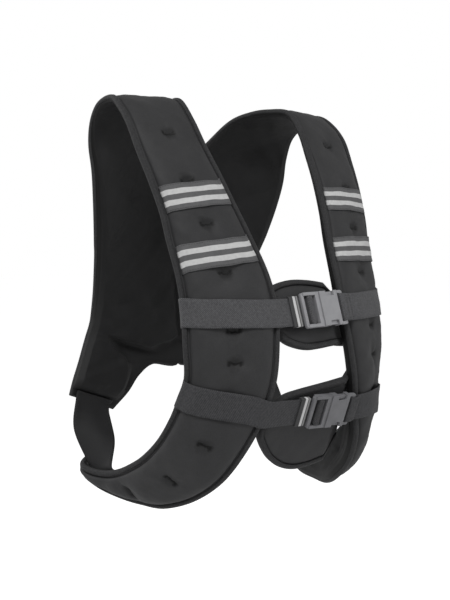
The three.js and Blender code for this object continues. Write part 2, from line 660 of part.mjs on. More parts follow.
function socketSolid() {
  const thick = BUCKLE_THICKNESS / 2;
  const pocket = PRONG_THICKNESS / 2 + CLEARANCE;
  const pocketSide = LATCH_WIDTH + PRONG_WIDTH + CLEARANCE;
  let solid = plate(MOUTH, endSlot.from, -SIDE, SIDE, -thick, thick);
  solid = solid.add(plate(endSlot.from - 1, HALF_BUCKLE, -SIDE, SIDE, BAR_LOW, BAR_HIGH, BUCKLE_CORNER));
  solid = solid.subtract(plate(MOUTH - 1, notch.to - 0.5, -pocketSide, pocketSide, -pocket, pocket));
  const inner = SIDE - RAIL;
  solid = solid.subtract(plate(endSlot.from, endSlot.to, -inner, inner, -THROUGH, THROUGH));
  for (const sign of [-1, 1]) {
    const [low, high] = [sign * (SIDE - NOTCH_DEPTH), sign * (SIDE + 1)].sort((p, q) => p - q);
    solid = solid.subtract(plate(notch.from, notch.to, low, high, -THROUGH, THROUGH));
  }
  return solid;
}

// Path of a webbing end in its buckle's frame: place along the buckle and height above its middle
const BEHIND = BAR_LOW - WEBBING_THICKNESS / 2 - CLEARANCE;
const ABOVE = BAR_HIGH + WEBBING_THICKNESS / 2 + CLEARANCE;
const keeperEnd = -HALF_BUCKLE - KEEPER_DISTANCE;
const ladderMiddle = -HALF_BUCKLE + LADDER_BAR + SLOT_WIDTH + LADDER_BAR / 2;
const RISE = LADDER_BAR / 2 + CLEARANCE + WEBBING_THICKNESS / 2;
const plugPath = [
  { l: keeperEnd - KEEPER_WIDTH - KEEPER_LEAD, h: BEHIND },
  { l: keeperEnd, h: BEHIND },
  { l: ladderMiddle - RISE - WEBBING_TURN, h: BEHIND },
  { l: ladderMiddle - RISE, h: BEHIND + WEBBING_TURN },
  { l: ladderMiddle - RISE, h: ABOVE - WEBBING_TURN },
  { l: ladderMiddle - RISE + WEBBING_TURN, h: ABOVE },
  { l: ladderMiddle + RISE - WEBBING_TURN, h: ABOVE },
  { l: ladderMiddle + RISE, h: ABOVE - WEBBING_TURN },
  { l: ladderMiddle + RISE, h: BEHIND },
];
const endBar = HALF_BUCKLE - LADDER_BAR / 2;
const socketPath = [
  { l: HALF_BUCKLE + 1, h: BEHIND },
  { l: endBar - RISE + WEBBING_TURN, h: BEHIND },
  { l: endBar - RISE, h: BEHIND + WEBBING_TURN },
  { l: endBar - RISE, h: ABOVE - WEBBING_TURN },
  { l: endBar - RISE + WEBBING_TURN, h: ABOVE },
  { l: HALF_BUCKLE + 1, h: ABOVE },
  { l: HALF_BUCKLE + LAP_LENGTH, h: WEBBING_THICKNESS + 3 * CLEARANCE },
];

function inFrame(frame, l, w, h) {
  return frame.origin
    .clone()
    .addScaledVector(frame.length, l)
    .addScaledVector(frame.width, w)
    .addScaledVector(frame.out, h);
}

// Rings of a ribbon along a path in the buckle's frame. towards is 1 where the path runs to the
// wearer's left and -1 where it runs to the right, and keeps the ribbon's top on the same side.
function ribbonRings(path, frame, towards) {
  return path.map((spot, n) => {
    const before = path[Math.max(0, n - 1)];
    const after = path[Math.min(path.length - 1, n + 1)];
    const [dl, dh] = [after.l - before.l, after.h - before.h];
    const size = Math.hypot(dl, dh) * towards;
    const half = WEBBING_THICKNESS / 2;
    const [al, ah] = [(-dh / size) * half, (dl / size) * half];
    const side = WEBBING_WIDTH / 2;
    const low = [-side, 0, side].map((w) => inFrame(frame, spot.l - al, w, spot.h - ah));
    const high = [side, 0, -side].map((w) => inFrame(frame, spot.l + al, w, spot.h + ah));
    return [...low, ...high];
  });
}

// The webbing's sewn end: it turns round the armhole rim and lies against the padding's side wall
function wrapRings(centreDrop, armDrop) {
  const j = STATION_COUNT - 1;
  const [ring] = stripRings(centreDrop, armDrop, WEBBING_WIDTH, WEBBING_THICKNESS, [j]);
  const k = sectionAtDrop(j, armDrop);
  const entry = outlineEntry(Math.round(k), "o");
  const outward = entry.inward.clone().negate();
  const reach = BINDING_OVERHANG + CLEARANCE;
  const top = BINDING_SEAT + BINDING_THICKNESS;
  return [-WRAP_DEPTH, top].map((height) => {
    const drop = height - top - STRIP_LIFT;
    const low = ring
      .slice(0, 3)
      .map((point) => point.clone().addScaledVector(entry.normal, drop).addScaledVector(outward, reach));
    const high = low.map((p) => p.clone().addScaledVector(outward, WEBBING_THICKNESS)).reverse();
    return [...low, ...high];
  });
}

const FREE_STATIONS = [10, 8, 7, 6, 5, 4, 3, 0];
const ringMiddle = (ring) => ring[1].clone().add(ring[4]).multiplyScalar(0.5);
const turn = new THREE.Matrix4();
for (const level of WEBBINGS) {
  const drops = level.drops;
  const over = (centre, arm) => stripRings(centre, arm, WEBBING_WIDTH, WEBBING_THICKNESS, FREE_STATIONS);
  const left = [...wrapRings(drops.leftCentre, drops.leftArm), ...over(drops.leftCentre, drops.leftArm)];
  const right = [...wrapRings(drops.rightCentre, drops.rightArm), ...over(drops.rightCentre, drops.rightArm)];
  const rightRun = mirrorRings(right);
  const [from, to] = [ringMiddle(rightRun[rightRun.length - 1]), ringMiddle(left[left.length - 1])];
  const along = to.clone().sub(from).normalize();
  const lean = THREE.MathUtils.degToRad(level.buckle.lean);
  const upright = new THREE.Vector3(0, Math.sin(lean), Math.cos(lean));
  const out = along.clone().cross(upright).normalize();
  const frame = { length: along, width: out.clone().cross(along), out };
  frame.origin = from.clone().addScaledVector(along, (level.buckle.offset * HALF_WIDTH - from.x) / along.x);
  level.frame = frame;
  level.rightRim = from;
  level.leftRim = to;
  const place = turn.clone().makeBasis(frame.length, frame.width, frame.out).setPosition(frame.origin);
  addPiece(`${level.name}_right_webbing`, loft([...rightRun, ...ribbonRings(plugPath, frame, 1)]), WEBBING);
  addPiece(`${level.name}_left_webbing`, loft([...left, ...ribbonRings(socketPath, frame, -1)]), WEBBING);
  addPiece(`${level.name}_buckle_plug`, geometryOf(plugSolid()).applyMatrix4(place), PLASTIC);
  addPiece(`${level.name}_buckle_socket`, geometryOf(socketSolid()).applyMatrix4(place), PLASTIC);
  const side = WEBBING_WIDTH / 2 + CLEARANCE;
  const room = WEBBING_THICKNESS / 2 + CLEARANCE;
  const [low, high] = [BEHIND - room, BEHIND + room];
  const wall = KEEPER_WALL;
  const loop = plate(keeperEnd - KEEPER_WIDTH, keeperEnd, -side - wall, side + wall, low - wall, high + wall)
    .subtract(plate(keeperEnd - KEEPER_WIDTH - 1, keeperEnd + 1, -side, side, low, high));
  addPiece(`${level.name}_keeper`, geometryOf(loop).applyMatrix4(place), WEBBING);
}

// Buckle flaps: they hang from the left chest panel's inner face, behind the buckles
const RIM_HEIGHT = STRIP_LIFT + WEBBING_THICKNESS / 2 + BINDING_SEAT + BINDING_THICKNESS;
const INNER_DEPTH = (PAD_THICKNESS - FLANGE_THICKNESS) * (1 - OUTER_PAD_SHARE);
const FLAP_FACE = -(RIM_HEIGHT + FLANGE_THICKNESS / 2 + SIDE_WALL_SHARE * INNER_DEPTH + 2 * CLEARANCE);
for (const level of WEBBINGS) {
  const rows = FLAPS[level.name].map((row) => row.map((share) => share * BUCKLE_LENGTH));
  const rimAlong = (point) => point.clone().sub(level.frame.origin).dot(level.frame.length);
  const bendLeft = rimAlong(level.leftRim) - FLAP_BEND[`${level.name}Left`];
  const bendRight = rimAlong(level.rightRim) + FLAP_BEND.right;
  const face = (l) => FLAP_FACE - FLAP_BEND.slope * Math.max(0, l - bendLeft, bendRight - l);
  const at = (l, w, h) => inFrame(level.frame, l, w, h);
  const pad = rows.map(([l, low, high], n) => {
    const inset = BINDING_OVERHANG;
    const shift = n === 0 ? inset : 0;
    const [a, b] = [low + inset, high - inset];
    const middle = (a + b) / 2;
    const crown = n < 2 ? 0 : FLAP_CROWN;
    const top = face(l);
    const back = top - FLAP_THICKNESS;
    return [
      at(l + shift, a, back),
      at(l + shift, middle, back),
      at(l + shift, b, back),
      at(l + shift, b, top),
      at(l + shift, middle, top + crown),
      at(l + shift, a, top),
    ];
  });
  addPiece(`${level.name}_flap`, loft(pad), NEOPRENE);
  const edge = [...rows.map(([l, , high]) => [l, high]).reverse(), ...rows.map(([l, low]) => [l, low])];
  const binding = edge.map(([l, w], n) => {
    const before = edge[Math.max(0, n - 1)];
    const after = edge[Math.min(edge.length - 1, n + 1)];
    const [dl, dw] = [after[0] - before[0], after[1] - before[1]];
    const size = Math.hypot(dl, dw);
    const [il, iw] = [(-dw / size) * FLAP_BINDING_WIDTH, (dl / size) * FLAP_BINDING_WIDTH];
    const seat = face(l) + FLAP_SEAT;
    const inner = face(l + il) + FLAP_SEAT;
    return [
      at(l, w, seat + RIM_SHARE * FLAP_BINDING_THICKNESS),
      at(l + il, w + iw, inner + FLAP_BINDING_THICKNESS),
      at(l + il, w + iw, inner),
      at(l, w, seat),
    ];
  });
  addPiece(`${level.name}_flap_binding`, loft(binding), BINDING);
}

// Flat side straps from the end of each wing to the tail of the chest panel. A strap makes a quarter
// turn on the way, so that the face towards the wearer at the wing is the outer one at the tail.
function strapRing(points, normals) {
  const half = SIDE_STRAP_THICKNESS / 2;
  const face = points.map((point, n) => point.clone().addScaledVector(normals[n], half));
  const back = points.map((point, n) => point.clone().addScaledVector(normals[n], -half)).reverse();
  return [...face, ...back];
}

function innerPoint(row, j) {
  const k = sectionRows.findIndex((r) => r > row) - 1;
  const f = (row - sectionRows[k]) / (sectionRows[k + 1] - sectionRows[k]);
  return innerSkin[k][j].clone().lerp(innerSkin[k + 1][j], f);
}

const STRAP_SEAT = CLEARANCE + SIDE_STRAP_THICKNESS / 2;
const TAIL_SEAT = STRAP_SEAT + 3 * CLEARANCE;
const wingStations = [9, 5, 1];
function wingRing(share) {
  const [end, before] = [lastSection, lastSection - 1];
  const normals = wingStations.map((j) => surfaceNormal(LAST_ROW, j / (STATION_COUNT - 1)));
  const points = wingStations.map((j, n) =>
    innerSkin[end][j].clone().lerp(innerSkin[before][j], share).addScaledVector(normals[n], -STRAP_SEAT),
  );
  return { points, normals: normals.map((normal) => normal.negate()) };
}

function tailRing(share) {
  const normals = STRAP_TAIL_ROWS.map((row) => surfaceNormal(row, 0.7));
  const points = STRAP_TAIL_ROWS.map((row, n) =>
    innerPoint(row, 9).lerp(innerPoint(row, 6), share).addScaledVector(normals[n], -TAIL_SEAT),
  );
  return { points, normals };
}

function sharePoint([x, y, down]) {
  return new THREE.Vector3(x * HALF_WIDTH, y * BODY_DEPTH, CREST_HEIGHT - down * VEST_HEIGHT);
}

const strapTop = [wingRing(0.8), wingRing(-0.4)];
const strapLow = [tailRing(-1.1), tailRing(0), tailRing(0.7)];
const strapMid = [sharePoint(STRAP_MIDDLE.outer), sharePoint(STRAP_MIDDLE.inner)];
strapMid.splice(1, 0, strapMid[0].clone().lerp(strapMid[1], 0.5));
const midNormals = strapTop[1].normals.map((n, i) => n.clone().add(strapLow[0].normals[i]).normalize());
const strapRings = [...strapTop, { points: strapMid, normals: midNormals }, ...strapLow]
  .map(({ points, normals }) => strapRing(points, normals));
addPiece("left_side_strap", loft(strapRings), FLAT_NEOPRENE);
addPiece("right_side_strap", loft(mirrorRings(strapRings)), FLAT_NEOPRENE);

export default vest;
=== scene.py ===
import bpy
import bmesh
import math
import numpy as np
from mathutils import Matrix, Vector


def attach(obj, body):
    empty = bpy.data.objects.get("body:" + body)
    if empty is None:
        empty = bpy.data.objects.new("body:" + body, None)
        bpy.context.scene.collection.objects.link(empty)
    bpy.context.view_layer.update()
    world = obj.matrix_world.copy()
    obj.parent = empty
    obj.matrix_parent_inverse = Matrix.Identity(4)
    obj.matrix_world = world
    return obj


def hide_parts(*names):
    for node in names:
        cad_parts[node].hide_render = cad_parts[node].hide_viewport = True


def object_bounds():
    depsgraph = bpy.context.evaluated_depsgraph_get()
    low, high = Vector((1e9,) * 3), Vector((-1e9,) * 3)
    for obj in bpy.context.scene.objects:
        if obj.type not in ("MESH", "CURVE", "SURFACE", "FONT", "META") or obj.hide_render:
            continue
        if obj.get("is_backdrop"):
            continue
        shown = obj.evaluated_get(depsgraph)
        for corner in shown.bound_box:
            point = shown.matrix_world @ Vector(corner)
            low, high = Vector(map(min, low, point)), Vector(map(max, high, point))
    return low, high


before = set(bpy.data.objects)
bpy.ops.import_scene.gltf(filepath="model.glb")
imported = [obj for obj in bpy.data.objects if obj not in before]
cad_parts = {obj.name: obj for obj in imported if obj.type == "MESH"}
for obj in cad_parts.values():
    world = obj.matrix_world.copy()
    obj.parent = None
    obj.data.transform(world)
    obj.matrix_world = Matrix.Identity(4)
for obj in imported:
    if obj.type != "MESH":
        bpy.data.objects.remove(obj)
cad_low, cad_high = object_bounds()

# Padded body
# The harness is one shell of 2 mm neoprene over foam and small bags of iron sand: chest panels with
# tails, shoulders and a closed back with wings. It is sewn flat round its edge, where the binding
# goes, and pinched through at tufts that keep the filling in place.
VEST_HEIGHT = 455.0
HALF_WIDTH = 160.0
BODY_DEPTH = 160.0
CREST_HEIGHT = 18.0
PAD_THICKNESS = 20.0
OUTER_SHARE = 0.4
PAD_CROWN = 2.0
FLANGE_THICKNESS = 3.2
ROLL_WIDTH = 15.0
SIDE_WALL_SHARE = 0.6
BINDING_OVERHANG = 0.8
FLANGE_WIDTH = 5.9
ROLL_START = 0.3
END_FLAT = 9.65
NECK_ROW = 27
HEM_ROW = 32
LAST_ROW = 37

# Sections from the tail to the end of the wing: inner edge, outer edge, padding, bow and hem
COLUMNS = ("ix", "iy", "idown", "ox", "oy", "odown", "pad", "bow", "hem")
SECTIONS = np.array([
    [0.856, 0.5, 0.954, 0.881, 0.469, 0.914, 0.45, 0.0, 0.0],
    [0.912, 0.475, 0.954, 0.938, 0.438, 0.912, 0.45, 0.005, 0.0],
    [0.95, 0.388, 0.96, 1.006, 0.375, 0.921, 0.5, 0.01, 0.0],
    [0.906, 0.262, 0.982, 0.994, 0.288, 0.93, 0.6, 0.01, 0.0],
    [0.844, 0.1, 0.998, 0.962, 0.162, 0.932, 0.75, 0.012, 0.0],
    [0.8, -0.1, 1.004, 0.938, 0.025, 0.923, 0.9, 0.02, 0.0],
    [0.744, -0.294, 1.004, 0.931, -0.125, 0.903, 1.0, 0.03, 0.0],
    [0.65, -0.5, 0.978, 0.919, -0.275, 0.875, 1.0, 0.045, 0.0],
    [0.575, -0.712, 0.925, 0.9, -0.425, 0.831, 1.0, 0.055, 0.0],
    [0.5, -0.862, 0.851, 0.888, -0.55, 0.776, 1.0, 0.05, 0.0],
    [0.412, -0.944, 0.771, 0.875, -0.62, 0.727, 1.0, 0.045, 0.0],
    [0.356, -0.994, 0.688, 0.862, -0.675, 0.675, 1.0, 0.04, 0.0],
    [0.319, -0.981, 0.602, 0.888, -0.694, 0.6, 1.0, 0.035, 0.0],
    [0.294, -0.938, 0.525, 0.884, -0.669, 0.525, 1.0, 0.03, 0.0],
    [0.306, -0.856, 0.442, 0.894, -0.625, 0.446, 0.95, 0.03, 0.0],
    [0.35, -0.731, 0.354, 0.919, -0.55, 0.36, 0.9, 0.03, 0.0],
    [0.4, -0.625, 0.279, 0.938, -0.5, 0.295, 0.85, 0.03, 0.0],
    [0.444, -0.5, 0.198, 0.969, -0.406, 0.215, 0.75, 0.025, 0.0],
    [0.475, -0.381, 0.13, 0.994, -0.306, 0.145, 0.6, 0.015, 0.0],
    [0.494, -0.275, 0.068, 1.006, -0.212, 0.081, 0.5, 0.005, 0.0],
    [0.494, -0.138, 0.015, 1.0, -0.088, 0.035, 0.45, 0.0, 0.0],
    [0.438, 0.031, 0.006, 0.981, 0.04, 0.01, 0.45, 0.0, 0.0],
    [0.375, 0.169, 0.01, 0.975, 0.205, 0.02, 0.45, 0.0, 0.0],
    [0.306, 0.325, 0.028, 0.95, 0.335, 0.056, 0.5, 0.01, 0.0],
    [0.238, 0.488, 0.074, 0.931, 0.385, 0.112, 0.7, 0.035, 0.0],
    [0.162, 0.6, 0.121, 0.9, 0.388, 0.182, 0.8, 0.05, 0.0],
    [0.075, 0.662, 0.176, 0.862, 0.431, 0.255, 0.9, 0.06, 0.0],
    [0.0, 0.694, 0.196, 0.819, 0.494, 0.327, 1.0, 0.05, 0.0],
    [0.0, 0.703, 0.26, 0.794, 0.535, 0.362, 1.0, 0.042, -1.5],
    [0.0, 0.706, 0.34, 0.769, 0.575, 0.398, 1.0, 0.033, -2.0],
    [0.0, 0.7, 0.46, 0.744, 0.638, 0.481, 1.0, 0.015, -2.0],
    [0.0, 0.66, 0.575, 0.75, 0.665, 0.545, 1.0, 0.0, -1.6],
    [0.0, 0.6, 0.688, 0.763, 0.672, 0.575, 1.0, 0.0, 2.9],
    [0.238, 0.6, 0.686, 0.8, 0.675, 0.613, 1.0, 0.0, 1.8],
    [0.375, 0.598, 0.714, 0.869, 0.65, 0.67, 1.0, 0.0, 0.8],
    [0.475, 0.598, 0.757, 0.938, 0.612, 0.714, 0.95, 0.0, 0.4],
    [0.58, 0.6, 0.79, 0.985, 0.578, 0.745, 0.85, 0.0, 0.2],
    [0.612, 0.6, 0.8, 0.994, 0.569, 0.752, 0.85, 0.0, 0.0],
])


def along(name, row):
    """Smooth value of one column of the sections at any row."""
    row = np.clip(np.asarray(row, float), 0, LAST_ROW)
    i = np.minimum(np.floor(row).astype(int), LAST_ROW - 1)
    f = row - i
    value = SECTIONS[:, COLUMNS.index(name)]
    a, b, c, d = (value[np.clip(i + n, 0, LAST_ROW)] for n in (-1, 0, 1, 2))
    return b + 0.5 * ((c - a) * f + (2 * a - 5 * b + 4 * c - d) * f**2 + (3 * b - a - 3 * c + d) * f**3)


def edge(side, row):
    """Points of the inner or the outer edge, in mm."""
    row = np.asarray(row, float)
    x = np.maximum(0, along(side + "x", row)) * HALF_WIDTH
    if side == "i":
        x = np.where((row >= NECK_ROW) & (row <= HEM_ROW), 0.0, x)
    return np.stack([x, along(side + "y", row) * BODY_DEPTH,
                     CREST_HEIGHT - along(side + "down", row) * VEST_HEIGHT], axis=-1)


def unit(v):
    return v / np.maximum(np.linalg.norm(v, axis=-1, keepdims=True), 1e-9)


def flat_normal(row):
    """Outward normal of the flat strip between the two edges."""
    before, after = np.maximum(0, row - 0.05), np.minimum(LAST_ROW, row + 0.05)
    run = edge("i", after) + edge("o", after) - edge("i", before) - edge("o", before)
    return unit(np.cross(edge("o", row) - edge("i", row), run))


def middle(row, v):
    """Point on the shell's middle surface at a share of the way across a section."""
    v = np.asarray(v, float)[..., None]
    start, end = edge("i", row), edge("o", row)
    bow = along("bow", row)[..., None] * BODY_DEPTH * 4 * v * (1 - v)
    return start + (end - start) * v + flat_normal(row) * bow


def skin_normal(row, v):
    """Outward normal of the middle surface."""
    row, v = np.broadcast_arrays(np.asarray(row, float), np.asarray(v, float))
    up = middle(np.minimum(LAST_ROW, row + 0.02), v)
    down = middle(np.maximum(0, row - 0.02), v)
    right = middle(row, np.minimum(1, v + 0.02))
    left = middle(row, np.maximum(0, v - 0.02))
    normal = np.cross(right - left, up - down)
    centred = (row >= NECK_ROW) & (row <= HEM_ROW) & (v <= 0)
    normal[..., 0] = np.where(centred, 0.0, normal[..., 0])
    return unit(normal)


steps = np.linspace(0, LAST_ROW, LAST_ROW * 40 + 1)
spine = middle(steps, np.full(len(steps), 0.5))
travelled = np.concatenate([[0], np.cumsum(np.linalg.norm(np.diff(spine, axis=0), axis=1))])
HALF_LENGTH = travelled[-1]
row_at = lambda distance: np.interp(distance, travelled, steps)
distance_at = lambda row: np.interp(row, steps, travelled)


def sine_with(side, row, across):
    """Sine of the angle between a section and one of its edges."""
    run = edge(side, np.minimum(LAST_ROW, row + 0.3)) - edge(side, np.maximum(0, row - 0.3))
    return np.clip(np.linalg.norm(np.cross(unit(run), across), axis=-1), 0.5, 1)


def inward(side, row):
    """Direction from an edge into the shell, in the shell's own surface."""
    run = edge(side, np.minimum(LAST_ROW, row + 0.05)) - edge(side, np.maximum(0, row - 0.05))
    normal = skin_normal(row, np.full(len(row), 0.0 if side == "i" else 1.0))
    direction = np.cross(normal, unit(run))
    return unit(direction if side == "o" else -direction)


def roll_share(distance, roll):
    """Height of the rolled edge of the padding, as a share: a quarter of a circle."""
    s = np.clip(distance / roll, 0, 1)
    return np.sqrt(1 - (1 - s) ** 2)


def wall_share(distance):
    """Depth of the inner side, as a share: its wall stands close to the edge."""
    s = np.clip(distance / FLANGE_WIDTH, 0, 1)
    return np.where(distance < 0, 0, SIDE_WALL_SHARE + (1 - SIDE_WALL_SHARE) * s)


# Across each section: flange, roll, pillow, roll and flange, each with its own number of strips
ZONES = (("flange", 4), ("roll", 9), ("pillow", 22), ("roll", 9), ("flange", 4))
SECTION_STEP = 3.3


def section_rows():
    """Rows of the sections that the mesh is built on, close together and closer at both ends."""
    rows = [0.0]
    for start, end in ((0, NECK_ROW), (NECK_ROW, HEM_ROW), (HEM_ROW, LAST_ROW)):
        a, b = distance_at(start), distance_at(end)
        count = round((b - a) / SECTION_STEP)
        rows += list(row_at(a + (b - a) * np.arange(1, count) / count)) + [float(end)]
    near = row_at(np.array([1.5, END_FLAT, END_FLAT + 0.7]))
    far = row_at(HALF_LENGTH - np.array([END_FLAT + 0.7, END_FLAT, 1.5]))
    return np.array(sorted(set(rows) | set(near) | set(far)))


def section_layout(row):
    """Facts of sections: their ends, width, slants, hem and roll width."""
    free = (row <= NECK_ROW) | (row >= HEM_ROW)
    start = edge("i", row) + np.where(free, BINDING_OVERHANG, 0)[:, None] * inward("i", row)
    start[:, 0] = np.where((row >= NECK_ROW) & (row <= HEM_ROW), 0, start[:, 0])
    end = edge("o", row) + BINDING_OVERHANG * inward("o", row)
    width = np.linalg.norm(end - start, axis=1)
    across = (end - start) / width[:, None]
    slant_i, slant_o = sine_with("i", row, across), sine_with("o", row, across)
    hem = along("hem", row) * ROLL_WIDTH
    under_neck = (row > NECK_ROW) & (distance_at(row) < distance_at(NECK_ROW) + 9)
    hem = np.where(under_neck, 0, hem)
    flats = (FLANGE_WIDTH + np.maximum(0, hem)) / slant_i + FLANGE_WIDTH / slant_o
    roll = np.minimum(ROLL_WIDTH, (width - flats) / (1 / slant_i + 1 / slant_o + 0.6))
    return dict(row=row, start=start, end=end, width=width, si=slant_i, so=slant_o, hem=hem, roll=roll)


def stations(s):
    """Distances of the 11 stations that straps and bands are laid out by."""
    first = FLANGE_WIDTH + np.maximum(s["hem"], 0)
    near = [np.zeros_like(first), first / s["si"], (first + ROLL_START * s["roll"]) / s["si"],
            (first + s["roll"]) / s["si"]]
    far = [s["width"] - (FLANGE_WIDTH + d) / s["so"] for d in (s["roll"], ROLL_START * s["roll"], 0)]
    far.append(s["width"])
    between = [near[3] + (far[0] - near[3]) * q for q in (0.25, 0.5, 0.75)]
    return np.stack(near + between + far, axis=1)


def skins(s, distance):
    """Middle surface, normals and the heights of both skins at distances across sections."""
    row, width = s["row"][:, None], s["width"][:, None]
    v = distance / width
    rows = np.broadcast_to(row, v.shape)
    bow = along("bow", rows)[..., None] * BODY_DEPTH * (4 * v * (1 - v))[..., None]
    point = s["start"][:, None] + (s["end"] - s["start"])[:, None] * v[..., None]
    point = point + flat_normal(s["row"])[:, None] * bow
    normal = skin_normal(rows, v)
    from_start = distance * s["si"][:, None]
    from_end = (width - distance) * s["so"][:, None]
    hem, roll = s["hem"][:, None], s["roll"][:, None]
    to_end = np.minimum(distance_at(row), HALF_LENGTH - distance_at(row)) - END_FLAT
    end_roll = roll_share(to_end, ROLL_WIDTH)
    share = roll_share(from_start - hem - FLANGE_WIDTH, roll)
    share = share * roll_share(from_end - FLANGE_WIDTH, roll) * end_roll
    wall = wall_share(from_start - np.maximum(0, hem)) * wall_share(from_end) * end_roll
    pad = np.maximum(0, along("pad", rows)) * PAD_THICKNESS
    filling = np.maximum(0, pad - FLANGE_THICKNESS)
    bulge = PAD_CROWN * share * pad * 4 * v * (1 - v) / PAD_THICKNESS
    outer = FLANGE_THICKNESS / 2 + filling * share * OUTER_SHARE + bulge
    inner = FLANGE_THICKNESS / 2 + filling * wall * (1 - OUTER_SHARE) + bulge
    return point, normal, outer, inner, share, v


# Tufts of one half: row of the section and place across it, the same on both halves
TUFTS = np.array([
    [5.24, 0.47], [7.29, 0.5], [8.8, 0.48], [10.3, 0.48], [11.48, 0.48], [12.36, 0.5],
    [14.03, 0.5], [15.41, 0.52], [16.77, 0.54], [18.5, 0.48], [24.6, 0.45], [26.6, 0.5], [28.6, 0.3],
    [28.6, 0.72], [30.6, 0.3], [30.6, 0.72], [33.6, 0.55], [35.4, 0.5],
])
# Depths in mm: the sharp crease of a tuft, the wide dent round it, and the folds that run out of it
TUFT_PINCH = 4.4
TUFT_SLACK = 3.4
TUFT_STAR = 0.95
SLACK_RADIUS = 15
PINCH_LENGTH, PINCH_WIDTH = 7.5, 2.6
TUFT_REACH = 14


def lumps(s, distance):
    """Low swells of the filling, in mm."""
    a = distance_at(s["row"])[:, None] + 0 * distance
    wave = lambda pa, pc, phase: np.sin(a / pa * 2 * np.pi + distance / pc * 2 * np.pi + phase)
    height = 0.34 * wave(47, 61, 0.4) + 0.28 * wave(-31, 39, 2.1) + 0.2 * wave(23, -29, 4.0)
    return height + 0.1 * wave(13, 17, 1.2) + 0.08 * wave(-9, 21, 3.3)


def relief(s, distance, share, side):
    """Swells, dents and folds of a skin, in mm, added to its height."""
    a = distance_at(s["row"])[:, None] + 0 * distance
    height = lumps(s, distance) * share
    for n, (row, v) in enumerate(TUFTS):
        at = min(s["row"].searchsorted(row), len(s["row"]) - 1)
        da = a - distance_at(row)
        dc = distance - s["width"][at] * v
        r = np.hypot(da, dc)
        angle = np.arctan2(da, dc) + 0.7 * n
        slack = TUFT_SLACK * np.exp(-((r / SLACK_RADIUS) ** 2))
        crease = da + 0.8 - dc**2 / 50
        pinch = TUFT_PINCH * np.exp(-((crease / PINCH_WIDTH) ** 2) - (dc / PINCH_LENGTH) ** 4)
        star = TUFT_STAR * (r / 7) * np.exp(-r / 8.5) * (np.cos(3 * angle) + 0.7 * np.cos(5 * angle + n))
        if side == "inner":
            slack, pinch, star = 0.8 * slack, 0.3 * pinch, 0.5 * star
        height = height - (slack + pinch - star) * np.minimum(1, share * 1.2)
    return height


def nearest_tuft(s, distance):
    """Distances along and across to the nearest tuft in mm, and how near it is from 0 to 1."""
    a = distance_at(s["row"])[:, None] + 0 * distance
    along_tuft, across_tuft = np.full_like(distance, 99.0), np.full_like(distance, 99.0)
    for row, v in TUFTS:
        at = min(s["row"].searchsorted(row), len(s["row"]) - 1)
        da, dc = a - distance_at(row), distance - s["width"][at] * v
        nearer = np.hypot(da, dc) < np.hypot(along_tuft, across_tuft)
        along_tuft, across_tuft = np.where(nearer, da, along_tuft), np.where(nearer, dc, across_tuft)
    near = np.clip((TUFT_REACH - np.hypot(along_tuft, across_tuft)) / 3, 0, 1)
    return np.clip(along_tuft, -20, 20), np.clip(across_tuft, -20, 20), near


def compact(points, faces):
    """Merges points that lie together and drops faces that lose their area."""
    points = np.asarray(points, float)
    _, first, index = np.unique(np.round(points, 3), axis=0, return_index=True, return_inverse=True)
    index = index.reshape(-1)
    kept = []
    for face in index[np.asarray(faces)].tolist():
        corners = [p for n, p in enumerate(face) if p != face[n - 1]]
        if len(set(corners)) > 2 and len(set(corners)) == len(corners):
            kept.append(corners)
    return points[first], kept, first


def make_piece(name, points, faces, values=None):
    """A smooth closed mesh in metres from points in mm, with its faces outwards and its attributes."""
    points, faces, first = compact(points, faces)
    mesh = bpy.data.meshes.new(name)
    mesh.from_pydata((points / 1000).tolist(), [], faces)
    for key, value in (values or {}).items():
        attribute = mesh.attributes.new(key, "FLOAT", "POINT")
        attribute.data.foreach_set("value", np.asarray(value, float)[first])
    shell = bmesh.new()
    shell.from_mesh(mesh)
    bmesh.ops.recalc_face_normals(shell, faces=shell.faces)
    shell.to_mesh(mesh)
    shell.free()
    mesh.shade_smooth()
    piece = bpy.data.objects.new(name, mesh)
    bpy.context.scene.collection.objects.link(piece)
    return piece


def tube_faces(rings, size, closed=False):
    """Quads between rings of the same size, and end caps where the run isn't closed."""
    faces = []
    last = rings if closed else rings - 1
    for n in range(last):
        a, b = n * size, ((n + 1) % rings) * size
        faces += [[a + i, a + (i + 1) % size, b + (i + 1) % size, b + i] for i in range(size)]
    if not closed:
        for start in (0, (rings - 1) * size):
            faces += [[start + size - 1 - i, start + size - 2 - i, start + i + 1, start + i]
                      for i in range(size // 2 - 1)]
    return faces


rows = section_rows()
layout = section_layout(rows)
breaks = stations(layout)[:, [0, 1, 3, 7, 9, 10]]
columns = [breaks[:, :1]]
for zone, (kind, count) in enumerate(ZONES):
    t = np.arange(1, count + 1) / count
    if kind == "roll":
        t = t**1.7 if zone == 1 else 1 - (1 - t) ** 1.7
    zone_start, zone_end = breaks[:, zone:zone + 1], breaks[:, zone + 1:zone + 2]
    columns.append(zone_start + (zone_end - zone_start) * t)
distance = np.concatenate(columns, axis=1)
point, normal, outer, inner, share, v = skins(layout, distance)
pillow = np.clip((share - 0.15) / 0.85, 0, 1)
outer_high = outer + relief(layout, distance, pillow, "outer")
inner_high = inner + relief(layout, distance, pillow, "inner")
GROOVE_INSET, GROOVE_DEPTH = 5.4, 0.9
from_inner = distance * layout["si"][:, None]
from_outer = (layout["width"][:, None] - distance) * layout["so"][:, None]
groove = sum(GROOVE_DEPTH * np.exp(-(((d - GROOVE_INSET) / 0.9) ** 2)) for d in (from_inner, from_outer))
centred = (rows >= NECK_ROW) & (rows <= HEM_ROW)
outer_high = outer_high - np.where(centred[:, None] & (v < 0.4), 0, groove)
outside = point + normal * outer_high[..., None]
inside = point - normal * inner_high[..., None]
outside[centred, 0, 0] = 0
inside[centred, 0, 0] = 0
